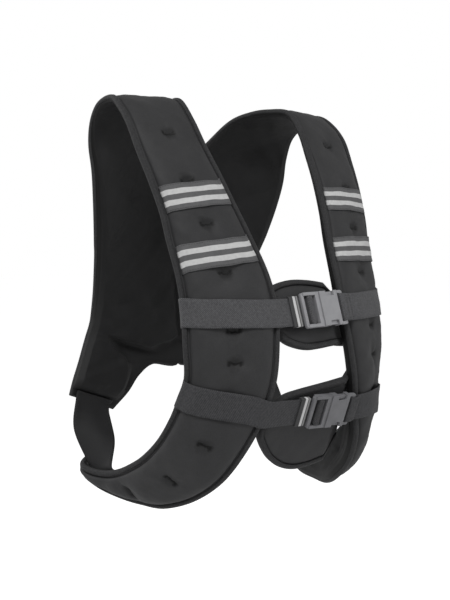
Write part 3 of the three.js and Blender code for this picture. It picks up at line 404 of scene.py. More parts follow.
WALL = np.array([0.1, 0.35, 0.65, 0.9])
WALL_SWELL = 1.1


def wall_points(top, bottom, outward):
    """Points of the side wall between the two skins, swelling out a little."""
    t = WALL[None, :, None]
    height = np.linalg.norm(top - bottom, axis=1)
    swell = WALL_SWELL * np.sin(np.pi * WALL)[None, :, None] * np.minimum(1, height / 9)[:, None, None]
    return top[:, None] * (1 - t) + bottom[:, None] * t + outward[:, None] * swell


wall_o = wall_points(outside[:, -1], inside[:, -1], -inward("o", rows))
wall_i = wall_points(inside[:, 0], outside[:, 0], -inward("i", rows))
wall_i[centred, :, 0] = 0
ring = np.concatenate([outside, wall_o, inside[:, ::-1], wall_i], axis=1)
count, size = ring.shape[:2]
across_count = distance.shape[1]
seam_from = 2 * across_count + len(WALL) - 1
faces = []
for k in range(count - 1):
    shut = centred[k] and centred[k + 1]
    for i in range(size):
        if shut and i >= seam_from:
            continue
        j = (i + 1) % size
        faces.append([k * size + i, k * size + j, (k + 1) * size + j, (k + 1) * size + i])
for k in (0, count - 1):
    top = [k * size + i for i in range(across_count)]
    low = [k * size + across_count + len(WALL) + across_count - 1 - i for i in range(across_count)]
    outer_wall = [k * size + across_count + n for n in range(len(WALL))]
    inner_wall = [n + across_count + len(WALL) for n in outer_wall]
    for i in range(across_count - 1):
        faces.append([top[i], low[i], low[i + 1], top[i + 1]])
    faces.append([top[-1]] + outer_wall + [low[-1]])
    faces.append([low[0]] + inner_wall + [top[0]])
caps = [f for f in faces if len(f) > 4]
quads = [f for f in faces if len(f) == 4]
for f in caps:
    quads += [[f[0], f[1], f[2], f[3]], [f[0], f[3], f[4], f[5]]]
flat = ring.reshape(-1, 3)
mirrored = flat * np.array([-1, 1, 1])
both = np.concatenate([flat, mirrored])
quads = np.array(quads)
both_faces = np.concatenate([quads, quads[:, ::-1] + len(flat)])
# this value says how dark a face is: the inner skin is darker than the outer one, as its lining is, and the
# side wall darker still, which is painted shade of the groove it lies in
wall_shade_level = np.full((count, len(WALL)), 1.42)
lining_and_wall_shade = np.concatenate([np.zeros_like(pillow), wall_shade_level, np.full_like(pillow, 0.95), wall_shade_level], axis=1)
along_tufts, across_tufts, near_tufts = nearest_tuft(layout, distance)
values = {"lining_and_wall_shade": np.tile(lining_and_wall_shade.reshape(-1), 2)}
for key, grid in (("tuft_along", along_tufts), ("tuft_across", across_tufts),
                  ("tuft_near", near_tufts * pillow)):
    whole = np.concatenate([grid, np.zeros((count, size - across_count))], axis=1)
    values[key] = np.tile(whole.reshape(-1), 2)
body = make_piece("padded_neoprene_body", both, both_faces, values)


def srgb(code):
    """Linear colour of an sRGB hex value."""
    parts = [int(code[n:n + 2], 16) / 255 for n in (1, 3, 5)]
    linear = [p / 12.92 if p <= 0.04045 else ((p + 0.055) / 1.055) ** 2.4 for p in parts]
    return (*linear, 1.0)


def add(tree, kind, settings=None, **links):
    """Adds a node, sets its fields and values, and links its inputs to other nodes' outputs."""
    node = tree.nodes.new(kind)
    for key, value in (settings or {}).items():
        if isinstance(key, str) and hasattr(node, key):
            setattr(node, key, value)
        else:
            node.inputs[key].default_value = value
    for key, source in links.items():
        socket = next((s for s in node.inputs if s.name.replace(" ", "_") == key), None)
        tree.links.new(source, socket if socket else node.inputs[int(key.strip("_"))])
    return node


def finish_named(name, roughness, sheen=0.0, level=0.3):
    """A new material with a Principled shader, and its tree and shader."""
    material = bpy.data.materials.new(name)
    material.use_nodes = True
    tree = material.node_tree
    shader = tree.nodes["Principled BSDF"]
    shader.inputs["Roughness"].default_value = roughness
    shader.inputs["Specular IOR Level"].default_value = level
    shader.inputs["Sheen Weight"].default_value = sheen
    shader.inputs["Sheen Roughness"].default_value = 0.5
    return material, tree, shader


def painted_tuft_shade(tree):
    """Output that is 1 in the creases of a tuft, where shade is painted: a ragged line with a dimple at
    each end, sizes in mm.
    """
    along_tuft, across_tuft, near = (
        add(tree, "ShaderNodeAttribute", {"attribute_name": name}).outputs["Fac"]
        for name in ("tuft_along", "tuft_across", "tuft_near"))
    aside = add(tree, "ShaderNodeMath", {"operation": "ABSOLUTE"}, _0=across_tuft).outputs[0]
    square = add(tree, "ShaderNodeMath", {"operation": "POWER", 1: 2.0}, _0=aside).outputs[0]
    curve = add(tree, "ShaderNodeMath", {"operation": "MULTIPLY_ADD", 1: -0.02, 2: 0.8}, _0=square)
    place = add(tree, "ShaderNodeTexCoord").outputs["Object"]
    uneven = add(tree, "ShaderNodeTexNoise", {"Scale": 210.0, "Detail": 2.0}, Vector=place)
    ragged = add(tree, "ShaderNodeMath", {"operation": "MULTIPLY_ADD", 1: 7.0, 2: -3.5},
                 _0=uneven.outputs["Fac"])
    shifted = add(tree, "ShaderNodeMath", {"operation": "ADD"}, _0=along_tuft, _1=ragged.outputs[0])
    bent = add(tree, "ShaderNodeMath", {"operation": "ADD"}, _0=shifted.outputs[0], _1=curve.outputs[0])
    off_line = add(tree, "ShaderNodeMath", {"operation": "ABSOLUTE"}, _0=bent.outputs[0]).outputs[0]
    # the line: about 3 mm wide with soft sides, and gone 9.5 mm from its middle
    on_line = add(tree, "ShaderNodeMapRange", {"From Min": 2.6, "From Max": 0.5}, _0=off_line)
    in_reach = add(tree, "ShaderNodeMapRange", {"From Min": 9.5, "From Max": 4.5}, _0=aside)
    line = add(tree, "ShaderNodeMath", {"operation": "MULTIPLY"}, _0=on_line.outputs[0],
               _1=in_reach.outputs[0])
    # the dimples: 6 mm from the middle
    off_end = add(tree, "ShaderNodeMath", {"operation": "SUBTRACT", 1: 6.0}, _0=aside)
    end_gap = add(tree, "ShaderNodeMath", {"operation": "ABSOLUTE"}, _0=off_end.outputs[0])
    on_end = add(tree, "ShaderNodeMapRange", {"From Min": 3.6, "From Max": 0.6}, _0=end_gap.outputs[0])
    end_reach = add(tree, "ShaderNodeMapRange", {"From Min": 4.2, "From Max": 1.6}, _0=off_line)
    dimple = add(tree, "ShaderNodeMath", {"operation": "MULTIPLY"}, _0=on_end.outputs[0],
                 _1=end_reach.outputs[0])
    crease_shade = add(tree, "ShaderNodeMath", {"operation": "MAXIMUM"}, _0=line.outputs[0], _1=dimple.outputs[0])
    # the soft shade round them, out to 10.5 mm
    square_along = add(tree, "ShaderNodeMath", {"operation": "POWER", 1: 2.0}, _0=off_line)
    radius = add(tree, "ShaderNodeMath", {"operation": "ADD"}, _0=square, _1=square_along.outputs[0])
    shade = add(tree, "ShaderNodeMapRange", {"From Min": 110.0, "From Max": 10.0, "To Max": 0.42},
                _0=radius.outputs[0])
    darkest = add(tree, "ShaderNodeMath", {"operation": "MAXIMUM"}, _0=crease_shade.outputs[0], _1=shade.outputs[0])
    return add(tree, "ShaderNodeMath", {"operation": "MULTIPLY"}, _0=darkest.outputs[0], _1=near).outputs[0]


def neoprene(name, dark, light, roughness):
    """Jersey-faced neoprene: a fine knit of about 1 mm, slight mottling, and a soft sheen."""
    material, tree, shader = finish_named(name, roughness, sheen=0.03)
    place = add(tree, "ShaderNodeTexCoord").outputs["Object"]
    cloud = add(tree, "ShaderNodeTexNoise", {"Scale": 38.0, "Detail": 4.0, "Roughness": 0.6}, Vector=place)
    fleck = add(tree, "ShaderNodeTexNoise", {"Scale": 900.0, "Detail": 2.0}, Vector=place)
    blend = add(tree, "ShaderNodeMath", {"operation": "MULTIPLY_ADD", 1: 0.35, 2: 0.3},
                _0=fleck.outputs["Fac"])
    mixed = add(tree, "ShaderNodeMath", {"operation": "MULTIPLY_ADD", 1: 0.5}, _0=cloud.outputs["Fac"],
                _2=blend.outputs[0])
    ramp = add(tree, "ShaderNodeValToRGB", _0=mixed.outputs[0])
    ramp.color_ramp.elements[0].position, ramp.color_ramp.elements[0].color = 0.35, srgb(dark)
    ramp.color_ramp.elements[1].position, ramp.color_ramp.elements[1].color = 0.85, srgb(light)
    # the lining side is darker, the side walls get painted shade, and so does the bottom of each pinch
    lining_and_wall_value = add(tree, "ShaderNodeAttribute", {"attribute_name": "lining_and_wall_shade"}).outputs["Fac"]
    # painted shade in the creases of the tufts and in the dents round them
    pinch = painted_tuft_shade(tree)
    darker = add(tree, "ShaderNodeMath", {"operation": "MULTIPLY", 1: 0.66}, _0=lining_and_wall_value)
    dim = add(tree, "ShaderNodeMath", {"operation": "MULTIPLY_ADD", 1: 0.93, "use_clamp": True},
              _0=pinch, _2=darker.outputs[0])
    # the colour mixes towards near black: the lining's darker tone plus painted shade on walls and pinches
    shaded = add(tree, "ShaderNodeMix", {"data_type": "RGBA", 7: srgb("#030303")}, _0=dim.outputs[0])
    tree.links.new(ramp.outputs["Color"], shaded.inputs[6])
    tree.links.new(shaded.outputs[2], shader.inputs["Base Color"])
    # the loops of the knit are drawn 1 mm apart so that they show in the render
    knit = add(tree, "ShaderNodeTexVoronoi", {"Scale": 1000.0, "Randomness": 0.55}, Vector=place)
    bump = add(tree, "ShaderNodeBump", {"Strength": 0.22, "Distance": 0.0004},
               Height=knit.outputs["Distance"])
    soft = add(tree, "ShaderNodeBump", {"Strength": 0.5, "Distance": 0.0009},
               Height=cloud.outputs["Fac"], Normal=bump.outputs["Normal"])
    tree.links.new(soft.outputs["Normal"], shader.inputs["Normal"])
    return material


outer_neoprene = neoprene("jersey_faced_neoprene", "#262627", "#363637", 0.62)
body.data.materials.append(outer_neoprene)
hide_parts("padded_body")
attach(body, "root")


# Edge binding
# A woven tape about 6 mm wide, folded over the sewn edge of the shell and stitched through. It runs
# round the whole outline without a break: neck, fronts, tails, armholes, wings and hem.
BINDING_PROFILE = (
    (1.2, -1.3), (0.2, -1.5), (-0.7, -0.9), (-1.0, 0.4), (-0.9, 1.9), (-0.3, 3.0), (0.8, 3.7),
    (2.2, 3.9), (3.5, 3.7), (4.5, 3.1), (5.0, 2.3), (5.1, 1.6), (4.8, 1.2), (1.2, 1.1),
)
BINDING_STITCH_INSET = 3.7
STITCH_PITCH = 3.6
STITCH_LENGTH = 2.5
THREAD_RADIUS = 0.28


def half_outline():
    """Points, normals, inward directions and mitres of the outline of the left half."""
    down = rows[rows <= NECK_ROW][::-1]
    up = rows
    back = rows[rows >= HEM_ROW][::-1]
    points = np.concatenate([edge("i", down), edge("o", up), edge("i", back)])
    normals = np.concatenate([skin_normal(down, np.zeros(len(down))), skin_normal(up, np.ones(len(up))),
                              skin_normal(back, np.zeros(len(back)))])
    before = np.vstack([points[1] * [-1, 1, 1], points[:-1]])
    after = np.vstack([points[1:], points[-2] * [-1, 1, 1]])
    arriving, leaving = unit(points - before), unit(after - points)
    direction = unit(arriving + leaving)
    mitre = np.minimum(1.6, 1 / np.maximum(0.3, np.sum(direction * arriving, axis=1)))
    return points, normals, unit(np.cross(normals, direction)), mitre


def outline_line(inset, height):
    """Closed line round the whole outline at an inset and a height, in mm."""
    points, normals, inwards, mitre = half_outline()
    line = points + inwards * (inset * mitre)[:, None] + normals * height
    line[[0, -1], 0] = 0
    other = line[1:-1][::-1] * [-1, 1, 1]
    return np.concatenate([line, other])


def run_length(line):
    """Distance travelled at each point of a line."""
    return np.concatenate([[0], np.cumsum(np.linalg.norm(np.diff(line, axis=0), axis=1))])


lines = np.stack([outline_line(u, h) for u, h in BINDING_PROFILE], axis=1)
ring_size = len(BINDING_PROFILE)
run = np.repeat(run_length(lines[:, 7]), ring_size)
round_tape = np.tile(np.arange(ring_size) * 1.2, len(lines))
binding = make_piece("woven_edge_binding", lines.reshape(-1, 3),
                     tube_faces(len(lines), ring_size, closed=True), {"run": run, "across": round_tape})


def woven_tape(name, dark, light, rib, roughness):
    """Polyester tape: ribs across its length with painted shade in their low places, a little fuzzy tone,
    and no gloss.
    """
    material, tree, shader = finish_named(name, roughness, sheen=0.04)
    run_value = add(tree, "ShaderNodeAttribute", {"attribute_name": "run"}).outputs["Fac"]
    across_value = add(tree, "ShaderNodeAttribute", {"attribute_name": "across"}).outputs["Fac"]
    turned = add(tree, "ShaderNodeMath", {"operation": "MULTIPLY_ADD", 1: 0.6},
                 _0=across_value, _2=run_value)
    angle = add(tree, "ShaderNodeMath", {"operation": "MULTIPLY", 1: 2 * math.pi / rib},
                _0=turned.outputs[0])
    ribs = add(tree, "ShaderNodeMath", {"operation": "SINE"}, _0=angle.outputs[0])
    place = add(tree, "ShaderNodeTexCoord").outputs["Object"]
    fuzz = add(tree, "ShaderNodeTexNoise", {"Scale": 420.0, "Detail": 3.0}, Vector=place)
    # painted shade: the colour follows the ribs, darker in their low places, with random fuzz added
    shade = add(tree, "ShaderNodeMath", {"operation": "MULTIPLY_ADD", 1: 0.22}, _0=ribs.outputs[0],
                _2=fuzz.outputs["Fac"])
    ramp = add(tree, "ShaderNodeValToRGB", _0=shade.outputs[0])
    ramp.color_ramp.elements[0].position, ramp.color_ramp.elements[0].color = 0.2, srgb(dark)
    ramp.color_ramp.elements[1].position, ramp.color_ramp.elements[1].color = 0.85, srgb(light)
    tree.links.new(ramp.outputs["Color"], shader.inputs["Base Color"])
    bump = add(tree, "ShaderNodeBump", {"Strength": 0.45, "Distance": 0.0004}, Height=shade.outputs[0])
    tree.links.new(bump.outputs["Normal"], shader.inputs["Normal"])
    return material


# ribs of about 1.1 mm: the real ones, 0.5 mm, would not show
binding_tape = woven_tape("woven_polyester_binding", "#262627", "#3c3c3d", 1.1, 0.75)
binding.data.materials.append(binding_tape)
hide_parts("edge_binding")
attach(binding, "root")

# Spun polyester thread: matt, a little lighter than the tape, so that each stitch reads as a dash
thread_material, thread_tree, thread_shader = finish_named("polyester_sewing_thread", 0.6)
thread_place = add(thread_tree, "ShaderNodeTexCoord").outputs["Object"]
thread_noise = add(thread_tree, "ShaderNodeTexNoise", {"Scale": 300.0}, Vector=thread_place)
thread_ramp = add(thread_tree, "ShaderNodeValToRGB", _0=thread_noise.outputs["Fac"])
thread_ramp.color_ramp.elements[0].color = srgb("#2c2c2d")
thread_ramp.color_ramp.elements[1].color = srgb("#474748")
thread_tree.links.new(thread_ramp.outputs["Color"], thread_shader.inputs["Base Color"])


def stitch_tree():
    """Geometry Nodes that lay one thread stitch at each step of a line."""
    tree = bpy.data.node_groups.new("stitches_along_a_line", "GeometryNodeTree")
    face = tree.interface
    face.new_socket("Geometry", in_out="INPUT", socket_type="NodeSocketGeometry")
    for label, value in (("Pitch", 0.0036), ("Stitch length", 0.0025), ("Thread radius", 0.0003)):
        face.new_socket(label, in_out="INPUT", socket_type="NodeSocketFloat").default_value = value
    face.new_socket("Thread", in_out="INPUT", socket_type="NodeSocketMaterial")
    face.new_socket("Geometry", in_out="OUTPUT", socket_type="NodeSocketGeometry")
    given = add(tree, "NodeGroupInput").outputs
    line = add(tree, "GeometryNodeMeshToCurve", Mesh=given["Geometry"])
    steps_on = add(tree, "GeometryNodeResampleCurve", {"mode": "LENGTH"}, Curve=line.outputs[0],
                   Length=given["Pitch"])
    tangent = add(tree, "GeometryNodeInputTangent")
    turn = add(tree, "FunctionNodeAlignRotationToVector", {"axis": "X"}, Vector=tangent.outputs[0])
    bead = add(tree, "GeometryNodeMeshUVSphere", {"Segments": 6, "Rings": 4, "Radius": 1.0})
    half_length = add(tree, "ShaderNodeMath", {"operation": "MULTIPLY", 1: 0.5},
                      _0=given["Stitch length"])
    size = add(tree, "ShaderNodeCombineXYZ", X=half_length.outputs[0], Y=given["Thread radius"],
               Z=given["Thread radius"])
    stitches = add(tree, "GeometryNodeInstanceOnPoints", Points=steps_on.outputs[0],
                   Instance=bead.outputs[0], Rotation=turn.outputs[0], Scale=size.outputs[0])
    real = add(tree, "GeometryNodeRealizeInstances", Geometry=stitches.outputs[0])
    painted = add(tree, "GeometryNodeSetMaterial", Geometry=real.outputs[0], Material=given["Thread"])
    done = tree.nodes.new("NodeGroupOutput")
    tree.links.new(painted.outputs[0], done.inputs[0])
    return tree


stitching = stitch_tree()


def sew(name, lines_mm, closed=False, pitch=STITCH_PITCH, length=STITCH_LENGTH, radius=THREAD_RADIUS):
    """One piece of thread stitches along lines given in mm."""
    points, edges = [], []
    for line in lines_mm:
        first = len(points)
        points += (np.asarray(line) / 1000).tolist()
        edges += [(first + n, first + n + 1) for n in range(len(line) - 1)]
        if closed:
            edges.append((first + len(line) - 1, first))
    mesh = bpy.data.meshes.new(name + "_line")
    mesh.from_pydata(points, edges, [])
    guide = bpy.data.objects.new(name + "_line", mesh)
    bpy.context.scene.collection.objects.link(guide)
    modifier = guide.modifiers.new("stitches", "NODES")
    modifier.node_group = stitching
    sockets = stitching.interface.items_tree
    named = {item.name: item.identifier for item in sockets if item.in_out == "INPUT"}
    modifier[named["Pitch"]] = pitch / 1000
    modifier[named["Stitch length"]] = length / 1000
    modifier[named["Thread radius"]] = radius / 1000
    modifier[named["Thread"]] = thread_material
    guide.update_tag()
    graph = bpy.context.evaluated_depsgraph_get()
    made = bpy.data.meshes.new_from_object(guide.evaluated_get(graph))
    made.name = name
    piece = bpy.data.objects.new(name, made)
    bpy.context.scene.collection.objects.link(piece)
    bpy.data.objects.remove(guide)
    made.shade_smooth()
    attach(piece, "root")
    return piece


sew("binding_stitches", [outline_line(BINDING_STITCH_INSET, 3.75)], closed=True)


# Reflective bands
# Two grey tapes 30 mm wide across each chest panel, each with two light reflective stripes. They are
# sewn down into the groove beside the binding, so they bend over the padding.
BAND_WIDTH = 30.0
BAND_THICKNESS = 1.2
BAND_LIFT = 1.1
BANDS = (
    # name, side, drop at the armhole edge, drop at the centre edge
    ("upper_right", -1, 0.272, 0.241),
    ("upper_left", 1, 0.256, 0.25),
    ("lower_right", -1, 0.414, 0.375),
    ("lower_left", 1, 0.38, 0.382),
)
BAND_ARCH = 0.005
CHEST_LOW, CHEST_HIGH = 6.0, 19.0

chest_rows = np.arange(CHEST_LOW, CHEST_HIGH + 0.01, 0.04)
chest = section_layout(chest_rows)
station_steps = np.linspace(0, 10, 41)
chest_distance = np.array([np.interp(station_steps, np.arange(11), s) for s in stations(chest)])
chest_point, chest_normal, chest_outer, _, chest_share, _ = skins(chest, chest_distance)
chest_height = chest_outer + lumps(chest, chest_distance) * chest_share
chest_skin = chest_point + chest_normal * chest_height[..., None]


def chest_column(station):
    """Skin points and normals up the chest at one station."""
    made = []
    for grid in (chest_skin, chest_normal):
        by_axis = grid.transpose(0, 2, 1).reshape(-1, len(station_steps))
        made.append(np.array([np.interp(station, station_steps, line) for line in by_axis]).reshape(-1, 3))
    return made[0], unit(made[1])


def strip_on_chest(arm_drop, centre_drop, width, station_list, lift, columns_across, arch=0.0):
    """Middle surface of a strip on the left chest panel, from the armhole edge towards the centre."""
    drop = lambda j: centre_drop + (arm_drop - centre_drop) * j / 10 - arch * 4 * (j / 10) * (1 - j / 10)
    centres, tracks = [], []
    for j in station_list:
        skin, normal = chest_column(j)
        up = run_length(skin)
        here = np.interp(CREST_HEIGHT - drop(j) * VEST_HEIGHT, skin[:, 2], up)
        tracks.append((skin, normal, up, here))
        centres.append([np.interp(here, up, skin[:, n]) for n in range(3)])
    centres = np.array(centres)
    runs = unit(np.gradient(centres, axis=0))
    rings = []
    for n, (skin, normal, up, here) in enumerate(tracks):
        sample = lambda grid, at: np.stack([np.interp(at, up, grid[:, m]) for m in range(3)], axis=-1)
        climb = unit(sample(skin, here + 2) - sample(skin, here - 2))
        sine = max(0.5, np.linalg.norm(np.cross(climb, runs[n])))
        at = here + np.linspace(-width / 2, width / 2, columns_across) / sine
        rings.append(sample(skin, at) + unit(sample(normal, at)) * lift(station_list[n]))
    return np.array(rings)


def grid_normals(grid, towards):
    """Normals of a grid of points, on the side that a direction points to."""
    along_run, across_run = np.gradient(grid, axis=0), np.gradient(grid, axis=1)
    normal = unit(np.cross(along_run, across_run))
    flip = np.sign(np.sum(normal[0] * towards, axis=-1).mean())
    return normal * (flip if flip else 1)


def ribbon(name, grid, thickness, towards, width):
    """A closed strip of even thickness round a middle surface, with rounded side edges."""
    normal = grid_normals(grid, towards)
    side = unit(grid[:, -1] - grid[:, 0])
    top, low = grid + normal * thickness / 2, grid - normal * thickness / 2
    right = grid[:, -1:] + side[:, None] * thickness * 0.3
    left = grid[:, :1] - side[:, None] * thickness * 0.3
    ring = np.concatenate([top, right, low[:, ::-1], left], axis=1)
    count, size = ring.shape[:2]
    across = np.linspace(-width / 2, width / 2, grid.shape[1])
    spread = np.concatenate([across, [width / 2], across[::-1], [-width / 2]])
    run = run_length(grid[:, grid.shape[1] // 2])
    faces = tube_faces(count, size)[:(count - 1) * size]
    columns_across = grid.shape[1]
    for k in (0, (count - 1) * size):
        faces += [[k + i, k + i + 1, k + size - 3 - i, k + size - 2 - i] for i in range(columns_across - 1)]
        right_top = k + columns_across - 1
        faces += [[right_top, right_top + 1, right_top + 2, right_top + 2]]
        faces += [[k, k + size - 1, k + size - 2, k + size - 2]]
    return make_piece(name, ring.reshape(-1, 3), faces,
                      {"run": np.repeat(run, size), "across": np.tile(spread, count)})


# Grey polyester tape with woven-in stripes of glass-beaded cloth: matt grey beside pale, even stripes
band_material, band_tree, band_shader = finish_named("grey_tape_with_reflective_stripes", 0.55)
band_across = add(band_tree, "ShaderNodeAttribute", {"attribute_name": "across"}).outputs["Fac"]
band_run = add(band_tree, "ShaderNodeAttribute", {"attribute_name": "run"}).outputs["Fac"]
band_side = add(band_tree, "ShaderNodeMath", {"operation": "ABSOLUTE"}, _0=band_across)
# five stripes of 6 mm: the light ones lie from 3 to 9 mm on each side of the middle
stripe_edge = add(band_tree, "ShaderNodeMath", {"operation": "SUBTRACT", 1: 6.0},
                  _0=band_side.outputs[0])
stripe_half = add(band_tree, "ShaderNodeMath", {"operation": "ABSOLUTE"}, _0=stripe_edge.outputs[0])
stripe = add(band_tree, "ShaderNodeMapRange", {"From Min": 3.15, "From Max": 2.85},
             _0=stripe_half.outputs[0])
band_place = add(band_tree, "ShaderNodeTexCoord").outputs["Object"]
band_noise = add(band_tree, "ShaderNodeTexNoise", {"Scale": 260.0, "Detail": 3.0}, Vector=band_place)
grey_ramp = add(band_tree, "ShaderNodeValToRGB", _0=band_noise.outputs["Fac"])
light_ramp = add(band_tree, "ShaderNodeValToRGB", _0=band_noise.outputs["Fac"])
for ramp, tones in ((grey_ramp, ("#525253", "#666667")), (light_ramp, ("#bcbcbc", "#d6d6d5"))):
    for stop, tone in zip(ramp.color_ramp.elements, tones):
        stop.color = srgb(tone)
band_colour = add(band_tree, "ShaderNodeMix", {"data_type": "RGBA"}, _0=stripe.outputs[0])
band_tree.links.new(grey_ramp.outputs["Color"], band_colour.inputs[6])
band_tree.links.new(light_ramp.outputs["Color"], band_colour.inputs[7])
band_tree.links.new(band_colour.outputs[2], band_shader.inputs["Base Color"])
# the ribs are drawn 1.3 mm apart, coarser than the real 0.5 mm, so that they show
band_rib = add(band_tree, "ShaderNodeMath", {"operation": "MULTIPLY", 1: 2 * math.pi / 1.3}, _0=band_run)
band_ribs = add(band_tree, "ShaderNodeMath", {"operation": "SINE"}, _0=band_rib.outputs[0])
band_step = add(band_tree, "ShaderNodeMath", {"operation": "MULTIPLY_ADD", 1: 1.6}, _0=stripe.outputs[0],
                _2=band_ribs.outputs[0])
band_bump = add(band_tree, "ShaderNodeBump", {"Strength": 0.25, "Distance": 0.0004},
                Height=band_step.outputs[0])
band_tree.links.new(band_bump.outputs["Normal"], band_shader.inputs["Normal"])

for name, side, arm_drop, centre_drop in BANDS:
    grid = strip_on_chest(arm_drop, centre_drop, BAND_WIDTH, np.linspace(9, 1, 49),
                          lambda j: BAND_LIFT, 13, BAND_ARCH)
    grid = grid * [side, 1, 1]
    forwards = np.array([0.3 * side, -1, 0.2])
    piece = ribbon("reflective_band_" + name, grid, BAND_THICKNESS, forwards, BAND_WIDTH)
    piece.data.materials.append(band_material)
    level_name, side_name = name.split("_")
    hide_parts(f"{level_name}_{side_name}_band")
    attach(piece, "root")
    facing = grid_normals(grid, forwards)
    hems = [grid[:, n] + facing[:, n] * (BAND_THICKNESS / 2 + 0.1) for n in (0, -1)]
    inset = [hems[0] * 0.96 + hems[1] * 0.04, hems[1] * 0.96 + hems[0] * 0.04]
    sew("band_stitches_" + name, inset, pitch=2.8, length=2.0, radius=0.2)


# Chest straps
# Two straps of 30 mm polyester webbing. Each side is sewn into the armhole edge and comes over the
# padding: the wearer's right side runs through the ladder lock, the left side ends in a sewn lap.
WEBBING_WIDTH = 30.0
WEBBING_THICKNESS = 1.6
WEBBING_LIFT = 1.9
RIM_LIFT = 3.9
FRAME_LIFT = 5.15
BUCKLE_LENGTH = 62.0
LADDER_BAR = 4.0
BAR_LOW, BAR_HIGH = -1.2, 2.2
STRAPS = {
    # drops below the crest: right armhole edge, right centre, left centre, left armhole edge; then the
    # buckle's place as a share of half the width, and its lean in degrees
    "upper": (0.527, 0.532, 0.523, 0.51, 0.09, 16),
    "lower": (0.715, 0.765, 0.768, 0.755, 0.15, -22),
}
HALF_BUCKLE = BUCKLE_LENGTH / 2
BEHIND = BAR_LOW - WEBBING_THICKNESS / 2 - 0.35
ABOVE = BAR_HIGH + WEBBING_THICKNESS / 2 + 0.35
LADDER_MIDDLE = -HALF_BUCKLE + LADDER_BAR * 1.5 + 6
RISE = LADDER_BAR / 2 + 0.35 + WEBBING_THICKNESS / 2
END_BAR = HALF_BUCKLE - LADDER_BAR / 2
LADDER_NEAR, LADDER_FAR, LAP_TURN = LADDER_MIDDLE - RISE, LADDER_MIDDLE + RISE, END_BAR - RISE
# Places along the buckle and heights over it that the webbing runs through
LADDER_PATH = ((-53, BEHIND), (-34, BEHIND), (LADDER_NEAR - 1.2, BEHIND), (LADDER_NEAR, BEHIND + 0.9),
               (LADDER_NEAR, ABOVE - 0.9), (LADDER_NEAR + 1.2, ABOVE),
               (LADDER_FAR - 1.2, ABOVE), (LADDER_FAR, ABOVE - 0.9), (LADDER_FAR, BEHIND))
LAP_PATH = ((33, BEHIND), (LAP_TURN + 1.2, BEHIND), (LAP_TURN, BEHIND + 0.9), (LAP_TURN, ABOVE - 0.9),
            (LAP_TURN + 1.2, ABOVE), (33, ABOVE), (41, BEHIND + WEBBING_THICKNESS + 0.2))
STRIP_COLUMNS = 11


def rounded(path, rounds=2):
    """Cuts the corners of an open path, keeping its ends."""
    path = np.asarray(path, float)
    for _ in range(rounds):
        a, b = path[:-1], path[1:]
        cut = np.stack([a * 0.75 + b * 0.25, a * 0.25 + b * 0.75], axis=1).reshape(-1, path.shape[1])
        path = np.concatenate([path[:1], cut[1:-1], path[-1:]])
    return path


def rim_point(drop):
    """Point over the centre edge of the left chest panel at a drop below the crest."""
    skin, normal = chest_column(0)
    level_z = CREST_HEIGHT - drop * VEST_HEIGHT
    spot, facing = (np.array([np.interp(level_z, skin[:, 2], grid[:, n]) for n in range(3)])
                    for grid in (skin, normal))
    return spot + unit(facing) * FRAME_LIFT


def buckle_frame(level):
    """Middle of a buckle, and the directions of its length, its width and its front."""
    _, right_centre, left_centre, _, offset, lean = STRAPS[level]
    start, end = rim_point(right_centre) * [-1, 1, 1], rim_point(left_centre)
    length = unit(end - start)
    lean = math.radians(lean)
    out = unit(np.cross(length, [0, math.sin(lean), math.cos(lean)]))
    origin = start + length * ((offset * HALF_WIDTH - start[0]) / length[0])
    return origin, length, np.cross(out, length), out


frames = {level: buckle_frame(level) for level in STRAPS}


def in_frame(level, l, w, h):
    """Points from places along, across and over a buckle."""
    origin, length, width, out = frames[level]
    l, w, h = np.broadcast_arrays(l, w, h)
    return origin + l[..., None] * length + w[..., None] * width + h[..., None] * out


def refine(rings, step):
    """Adds rings so that none is further than a step from the next."""
    made = [rings[0]]
    for a, b in zip(rings[:-1], rings[1:]):
        count = max(1, math.ceil(np.linalg.norm((b - a)[len(a) // 2]) / step))
        made += [a + (b - a) * n / count for n in range(1, count + 1)]
    return np.array(made)


def relax(rings, keep_from, keep_to, rounds):
    """Eases rings towards their neighbours, apart from those at both ends."""
    for _ in range(rounds):
        eased = rings.copy()
        eased[1:-1] = rings[1:-1] * 0.5 + (rings[:-2] + rings[2:]) * 0.25
        eased[:keep_from], eased[keep_to:] = rings[:keep_from], rings[keep_to:]
        rings = eased
    return rings


def webbing_run(level, side):
    """Middle surface of one side of a strap, from the armhole edge to its buckle."""
    right_arm, right_centre, left_centre, left_arm, _, _ = STRAPS[level]
    arm, centre = (right_arm, right_centre) if side == "right" else (left_arm, left_centre)
    stops = [10, 9.4, 8.6, 8, 7.5, 7, 6.5, 6, 5.5, 5, 4.5, 4, 3.5, 3, 2.6, 0]
    lift = lambda j: RIM_LIFT if j in (0, 10) else (WEBBING_LIFT + 1.3 if j == 9.4 else WEBBING_LIFT)
    over = strip_on_chest(arm, centre, WEBBING_WIDTH, stops, lift, STRIP_COLUMNS)
    skin, normal = chest_column(10)
    up = run_length(skin)
    here = np.interp(CREST_HEIGHT - arm * VEST_HEIGHT, skin[:, 2], up)
    rim_row = np.array([np.interp(here, up, chest_rows)])
    outward, facing = -inward("o", rim_row)[0], skin_normal(rim_row, np.array([1.0]))[0]
    wrap = [over[0] + outward * 2.0 + facing * drop for drop in (-13.0, -8.0, -3.4)]
    wrap.append(over[0] + outward * 1.5 - facing * 1.0)
    body_rings = np.concatenate([np.array(wrap), over])
    if side == "right":
        body_rings = body_rings * [-1, 1, 1]
    path = rounded(LADDER_PATH if side == "right" else LAP_PATH)
    w = np.linspace(-WEBBING_WIDTH / 2, WEBBING_WIDTH / 2, STRIP_COLUMNS)
    towards_buckle = np.array([in_frame(level, l, w, h) for l, h in path])
    body_part = refine(np.concatenate([body_rings, towards_buckle[:1]]), 2.6)
    body_part = relax(body_part, 1, len(body_part) - 1, 5)
    return np.concatenate([body_part[:-1], refine(towards_buckle, 2.0)])


